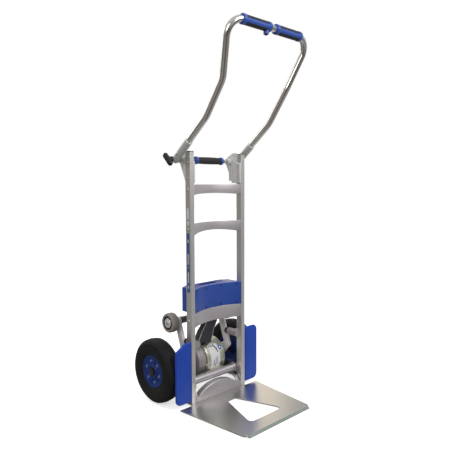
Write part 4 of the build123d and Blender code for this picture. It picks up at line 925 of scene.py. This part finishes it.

# ---- Climbing yoke ------------------------------------------------------------------------------
# Two cast light grey arms on the output shaft run to an elbow and up to a tube between them, whose axle
# carries the small wheels; the tube is coloured dark as painted shade. Parked, they lean on rubber buffers
# on the rails.
arm_cast = finish("arm_casting", (0.84, 0.795, 0.82), 0.42, metallic=0.05, patches=12, relief=0.2,
                  shade=0.08)
# Painted shade: the tube sits in the shade between the arms and is coloured near black for it.
cross_tube_shade = finish("cross_tube_painted_shade", (0.12, 0.12, 0.115), 0.45, metallic=0.2, patches=16, relief=0.12)
buffer_rubber = finish("buffer_rubber", (0.02, 0.02, 0.021), 0.6, relief=0.2)
dress(turned_steel, "output_shaft", "small_axle")
dress(knob_black, "main_axle")
dress(buffer_rubber, "rest_buffers")
wheel_low, wheel_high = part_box("left_small_tyre")
tip = np.array([(wheel_low.y + wheel_high.y) / 2, (wheel_low.z + wheel_high.z) / 2])
elbow = np.array([rail_front + 0.077, 0.182])
TIP, ELBOW = (0, *tip), (0, *elbow)
SHAFT_EYE, ELBOW_EYE, STEM, EYE, BOLT_RISE, BOLT = 0.028, 0.016, 0.0158, 0.016, 0.003, 0.007


def capsule(first, first_radius, second, second_radius, steps=24):
    """Outline round two circles and the two lines that touch both: a touching line meets each circle at
    an angle whose cosine is the difference of the radii over the distance, either side of the line
    between the centres."""
    reach = second - first
    heading = math.atan2(reach[1], reach[0])
    lean_angle = math.acos((first_radius - second_radius) / np.hypot(*reach))
    near = np.linspace(heading + lean_angle, heading + 2 * math.pi - lean_angle, steps)
    far = np.linspace(heading - lean_angle, heading + lean_angle, steps)
    line = np.concatenate([first + first_radius * unit_points(near),
                           second + second_radius * unit_points(far)])
    return np.concatenate([line, line[:1]])


for side, sign in SIDES:
    inner, outer = side_span(*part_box(f"{side}_climb_arm"))
    inner, outer = inner + BOLT_RISE, outer - BOLT_RISE
    web = capsule(np.array(AXLE[1:]), SHAFT_EYE, elbow, ELBOW_EYE)
    stem = capsule(elbow, STEM, tip, STEM)
    eye = lathe(open_line([(inner, 0), (inner, EYE), (outer, EYE), (outer, 0)], (0, 0.002, 0.002, 0)),
                TIP, (sign, 0, 0), sides=48)
    bolt = lathe(open_line([(inner - BOLT_RISE, 0), (inner - BOLT_RISE, BOLT), (outer + BOLT_RISE, BOLT),
                            (outer + BOLT_RISE, 0)], (0, 0.0015, 0.0015, 0)), ELBOW, (sign, 0, 0),
                 sides=32)
    build(f"{side}_arm", [slab(web, sign * inner, sign * outer, 0.003, "x"),
                          slab(stem, sign * (inner + 0.0004), sign * (outer - 0.0004), 0.0045, "x"), eye,
                          bolt], arm_cast, "yoke", [f"{side}_climb_arm"], sharp=40)
cross_low, cross_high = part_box("cross_tube")
CROSS = (cross_high.z - cross_low.z) / 2
cross_line = [(cross_low.x, 0.007), (cross_low.x, CROSS), (cross_high.x, CROSS), (cross_high.x, 0.007)]
cross_collar = open_line([(-0.006, 0.0), (-0.006, CROSS + 0.0015), (0.006, CROSS + 0.0015), (0.006, 0.0)],
                         0.002)
yoke_grids = [lathe(cross_line, TIP, sides=72)]
for collar_x in (cross_low.x + 0.006, cross_high.x - 0.006):
    yoke_grids.append(lathe(cross_collar + (collar_x, 0), TIP, sides=72))
build("yoke_tube", yoke_grids, cross_tube_shade, "yoke", ["cross_tube"])

# ---- Small climbing wheels ----------------------------------------------------------------------
# Solid grey rubber tyres with rounded shoulders on bright hubs. A black seal rings each hub, and the
# axle's nut stands in the middle of its face.
small_rubber = finish("small_tyre_rubber", (0.30, 0.27, 0.245), 0.66, grain=(700, 700, 700), patches=24,
                      relief=0.3, shade=0.16, dust=0.3, reach=0.6)
hub_chrome = finish("bright_hub", (0.92, 0.92, 0.93), 0.16, metallic=0.55, grain=(200, 200, 200),
                    relief=0.01, shade=0.03)
seal_black = finish("seal_rubber", (0.012, 0.012, 0.012), 0.5, relief=0.15)
for side, sign in SIDES:
    body = f"{side}_small_wheel"
    low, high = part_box(f"{side}_small_tyre")
    near, far = side_span(low, high)
    SMALL = (high.z - low.z) / 2
    tread = [(near + 0.002, 0.028), (near, 0.031), (near, SMALL - 0.002), (near + 0.009, SMALL),
             (far - 0.009, SMALL), (far, SMALL - 0.002), (far, 0.031), (far - 0.002, 0.028),
             (near + 0.002, 0.028)]
    tyre_line = open_line(tread, (0, 0.001, 0.007, 0.004, 0.004, 0.007, 0.001, 0, 0))
    build(f"{side}_small_rubber", [lathe(tyre_line, TIP, (sign, 0, 0), sides=112)], small_rubber, body,
          [f"{side}_small_tyre"], ends=False)
    hub_line = open_line([(near, 0.0062), (near, 0.028), (far - 0.004, 0.028), (far - 0.004, 0.0205),
                          (far - 0.001, 0.0185), (far - 0.0035, 0.012), (far - 0.0015, 0.0095),
                          (far - 0.0015, 0.0062)], (0, 0.001, 0.0005, 0.0005, 0.0018, 0.003, 0.001, 0))
    build(f"{side}_small_bright_hub", [lathe(hub_line, TIP, (sign, 0, 0), sides=96)], hub_chrome, body,
          [f"{side}_small_hub"])
    seal = rounded([(far - 0.0045, 0.0205), (far - 0.0020, 0.0207), (far - 0.0020, 0.0282),
                    (far - 0.0045, 0.0283)], 0.0005)
    build(f"{side}_small_seal", [lathe(seal, TIP, (sign, 0, 0), sides=96)], seal_black, body, ends=False)

# ---- Main wheels --------------------------------------------------------------------------------
# Black pneumatic tyres with a grooved crown and small shoulder lugs, on blue moulded rims with six
# light bolts round a black hub that turns on the fixed axle.
tyre_black = finish("tyre_rubber", (0.009, 0.009, 0.0095), 0.5, grain=(600, 600, 600), patches=16,
                    relief=0.3, shade=0.25, reach=0.10, dust=0.10, specular=0.22)
rim_blue = finish("rim_plastic", (0.010, 0.036, 0.20), 0.36, patches=18, relief=0.15, shade=0.12,
                  specular=0.25)
bolt_light = finish("rim_bolt_zinc", (0.24, 0.32, 0.52), 0.3, metallic=0.5, patches=30)
TREAD_GROOVES, GROOVE_DEPTH, GROOVE_HALF = (-0.017, -0.006, 0.006, 0.017), 0.0022, 0.0013
LUGS, SLOT_DEPTH, SHOULDER = 60, 0.0013, 0.019
RIB_START, RIB_STOP, RIB_HALF, RIB_SINK, RIB_RISE = 0.029, 0.052, 0.0012, 0.001, 0.0022
WALL_LINES, LINE_RISE, LINE_HALF = (0.092, 0.0965, 0.115), 0.0009, 0.0011
for side, sign in SIDES:
    body = f"{side}_wheel"
    low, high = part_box(f"{side}_tyre")
    rim_low, rim_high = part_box(f"{side}_rim")
    middle = abs(low.x + high.x) / 2
    half, TYRE = (high.x - low.x) / 2, (high.z - low.z) / 2
    BEAD, bead_half = (rim_high.z - rim_low.z) / 2, (rim_high.x - rim_low.x) / 2
    shoulder = half - 0.0075
    wall = open_line([(0, TYRE), (shoulder - 0.004, TYRE - 0.0028), (half, TYRE - 0.018),
                      (half, TYRE - 0.044), (half - 0.004, BEAD + 0.007),
                      (bead_half + 0.0015, BEAD + 0.003), (bead_half, BEAD)],
                     (0, 0.010, 0.020, 0.016, 0.006, 0.003, 0), steps=14)
    run = np.concatenate([[0], np.cumsum(np.hypot(*np.diff(wall, axis=0).T))])
    even = np.linspace(0, run[-1], 88)
    wall = np.stack([np.interp(even, run, wall[:, 0]), np.interp(even, run, wall[:, 1])], 1)
    for line_radius in WALL_LINES:
        line = np.exp(-(((wall[:, 1] - line_radius) / LINE_HALF) ** 2))
        wall[:, 0] += LINE_RISE * line * (wall[:, 0] > half * 0.75)
    wall[:, 0] = np.minimum(wall[:, 0], half + 0.0008)
    across = np.concatenate([-wall[::-1, 0], wall[1:, 0]])
    radius = np.concatenate([wall[::-1, 1], wall[1:, 1]])

    def tread_relief(distance, angle):
        """Depth of the tread: four round grooves, and lugs between slots on each shoulder, where a slot is
        a sharpened cosine of the angle that fades out down the wall."""
        offset = distance - middle
        grooves = sum(np.exp(-(((offset - g) / GROOVE_HALF) ** 2)) for g in TREAD_GROOVES)
        slot = np.clip(np.cos(LUGS * angle + 9 * np.abs(offset) / half) * 3 - 1.4, 0, 1)
        on_shoulder = np.clip((np.abs(offset) - SHOULDER) / 0.002, 0, 1) * (radius[:, None] > TYRE - 0.014)
        return -GROOVE_DEPTH * grooves * (radius[:, None] > TYRE - 0.01) - SLOT_DEPTH * slot * on_shoulder

    profile = np.stack([middle + across, radius], 1)
    build(f"{side}_main_tyre", [lathe(profile, AXLE, (sign, 0, 0), sides=480, swell=tread_relief)],
          tyre_black, body, [f"{side}_tyre"], ends=False)
    rim_line = [(-bead_half, BEAD - 0.0003), (-bead_half, BEAD - 0.005),
                (-bead_half + 0.004, BEAD - 0.009), (-bead_half + 0.014, BEAD - 0.013),
                (-bead_half + 0.015, 0.030), (-bead_half, 0.026), (-bead_half, 0.0202),
                (bead_half + 0.001, 0.0202), (bead_half + 0.001, 0.0265), (bead_half - 0.0045, 0.030),
                (bead_half - 0.005, BEAD - 0.016), (bead_half - 0.0025, BEAD - 0.0105),
                (bead_half - 0.0005, BEAD - 0.008), (bead_half + 0.0008, BEAD - 0.0035),
                (bead_half + 0.0004, BEAD - 0.0003), (-bead_half, BEAD - 0.0003)]
    rim_line = open_line(rim_line, (0, 0.001, 0.002, 0.003, 0.003, 0.002, 0.0005, 0.0005, 0.002, 0.002,
                                    0.003, 0.002, 0.002, 0.001, 0.0005, 0), steps=5)
    build(f"{side}_main_rim", [lathe(rim_line + (middle, 0), AXLE, (sign, 0, 0), sides=144)], rim_blue,
          body, [f"{side}_rim"], ends=False)
    rib_grids = []
    face_x = middle + bead_half - 0.0048
    for spoke in np.arange(12) * math.pi / 6 + math.pi / 12:
        heading = np.array([math.cos(spoke), math.sin(spoke)])
        aside = np.array([-heading[1], heading[0]])
        corners = rectangle((RIB_START, -RIB_HALF), (RIB_STOP, RIB_HALF))
        rib = rounded([heading * r + aside * w + (axle_y, axle_z) for r, w in corners], 0.0008)
        rib_grids.append(slab(rib, sign * (face_x - RIB_SINK), sign * (face_x + RIB_RISE), 0.0007, "x"))
    build(f"{side}_rim_ribs", rib_grids, rim_blue, body)
    hub_near, hub_far = side_span(*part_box(f"{side}_hub"))
    hub_line = open_line([(hub_near, 0.0102), (hub_near, 0.020), (hub_far, 0.020), (hub_far, 0.0155),
                          (hub_far - 0.004, 0.014), (hub_far - 0.004, 0.0102)],
                         (0, 0.001, 0.002, 0.001, 0.001, 0))
    build(f"{side}_hub_sleeve", [lathe(hub_line, AXLE, (sign, 0, 0), sides=72)], knob_black, body,
          [f"{side}_hub"])
    bolt_face = (sign * face_x, axle_y, axle_z)
    build(f"{side}_rim_screws", ring_of(bolt_face, 0.043, 6, math.radians(15), hex_head, sign, sides=12),
          bolt_light, body, [f"{side}_rim_bolts"], sharp=20)
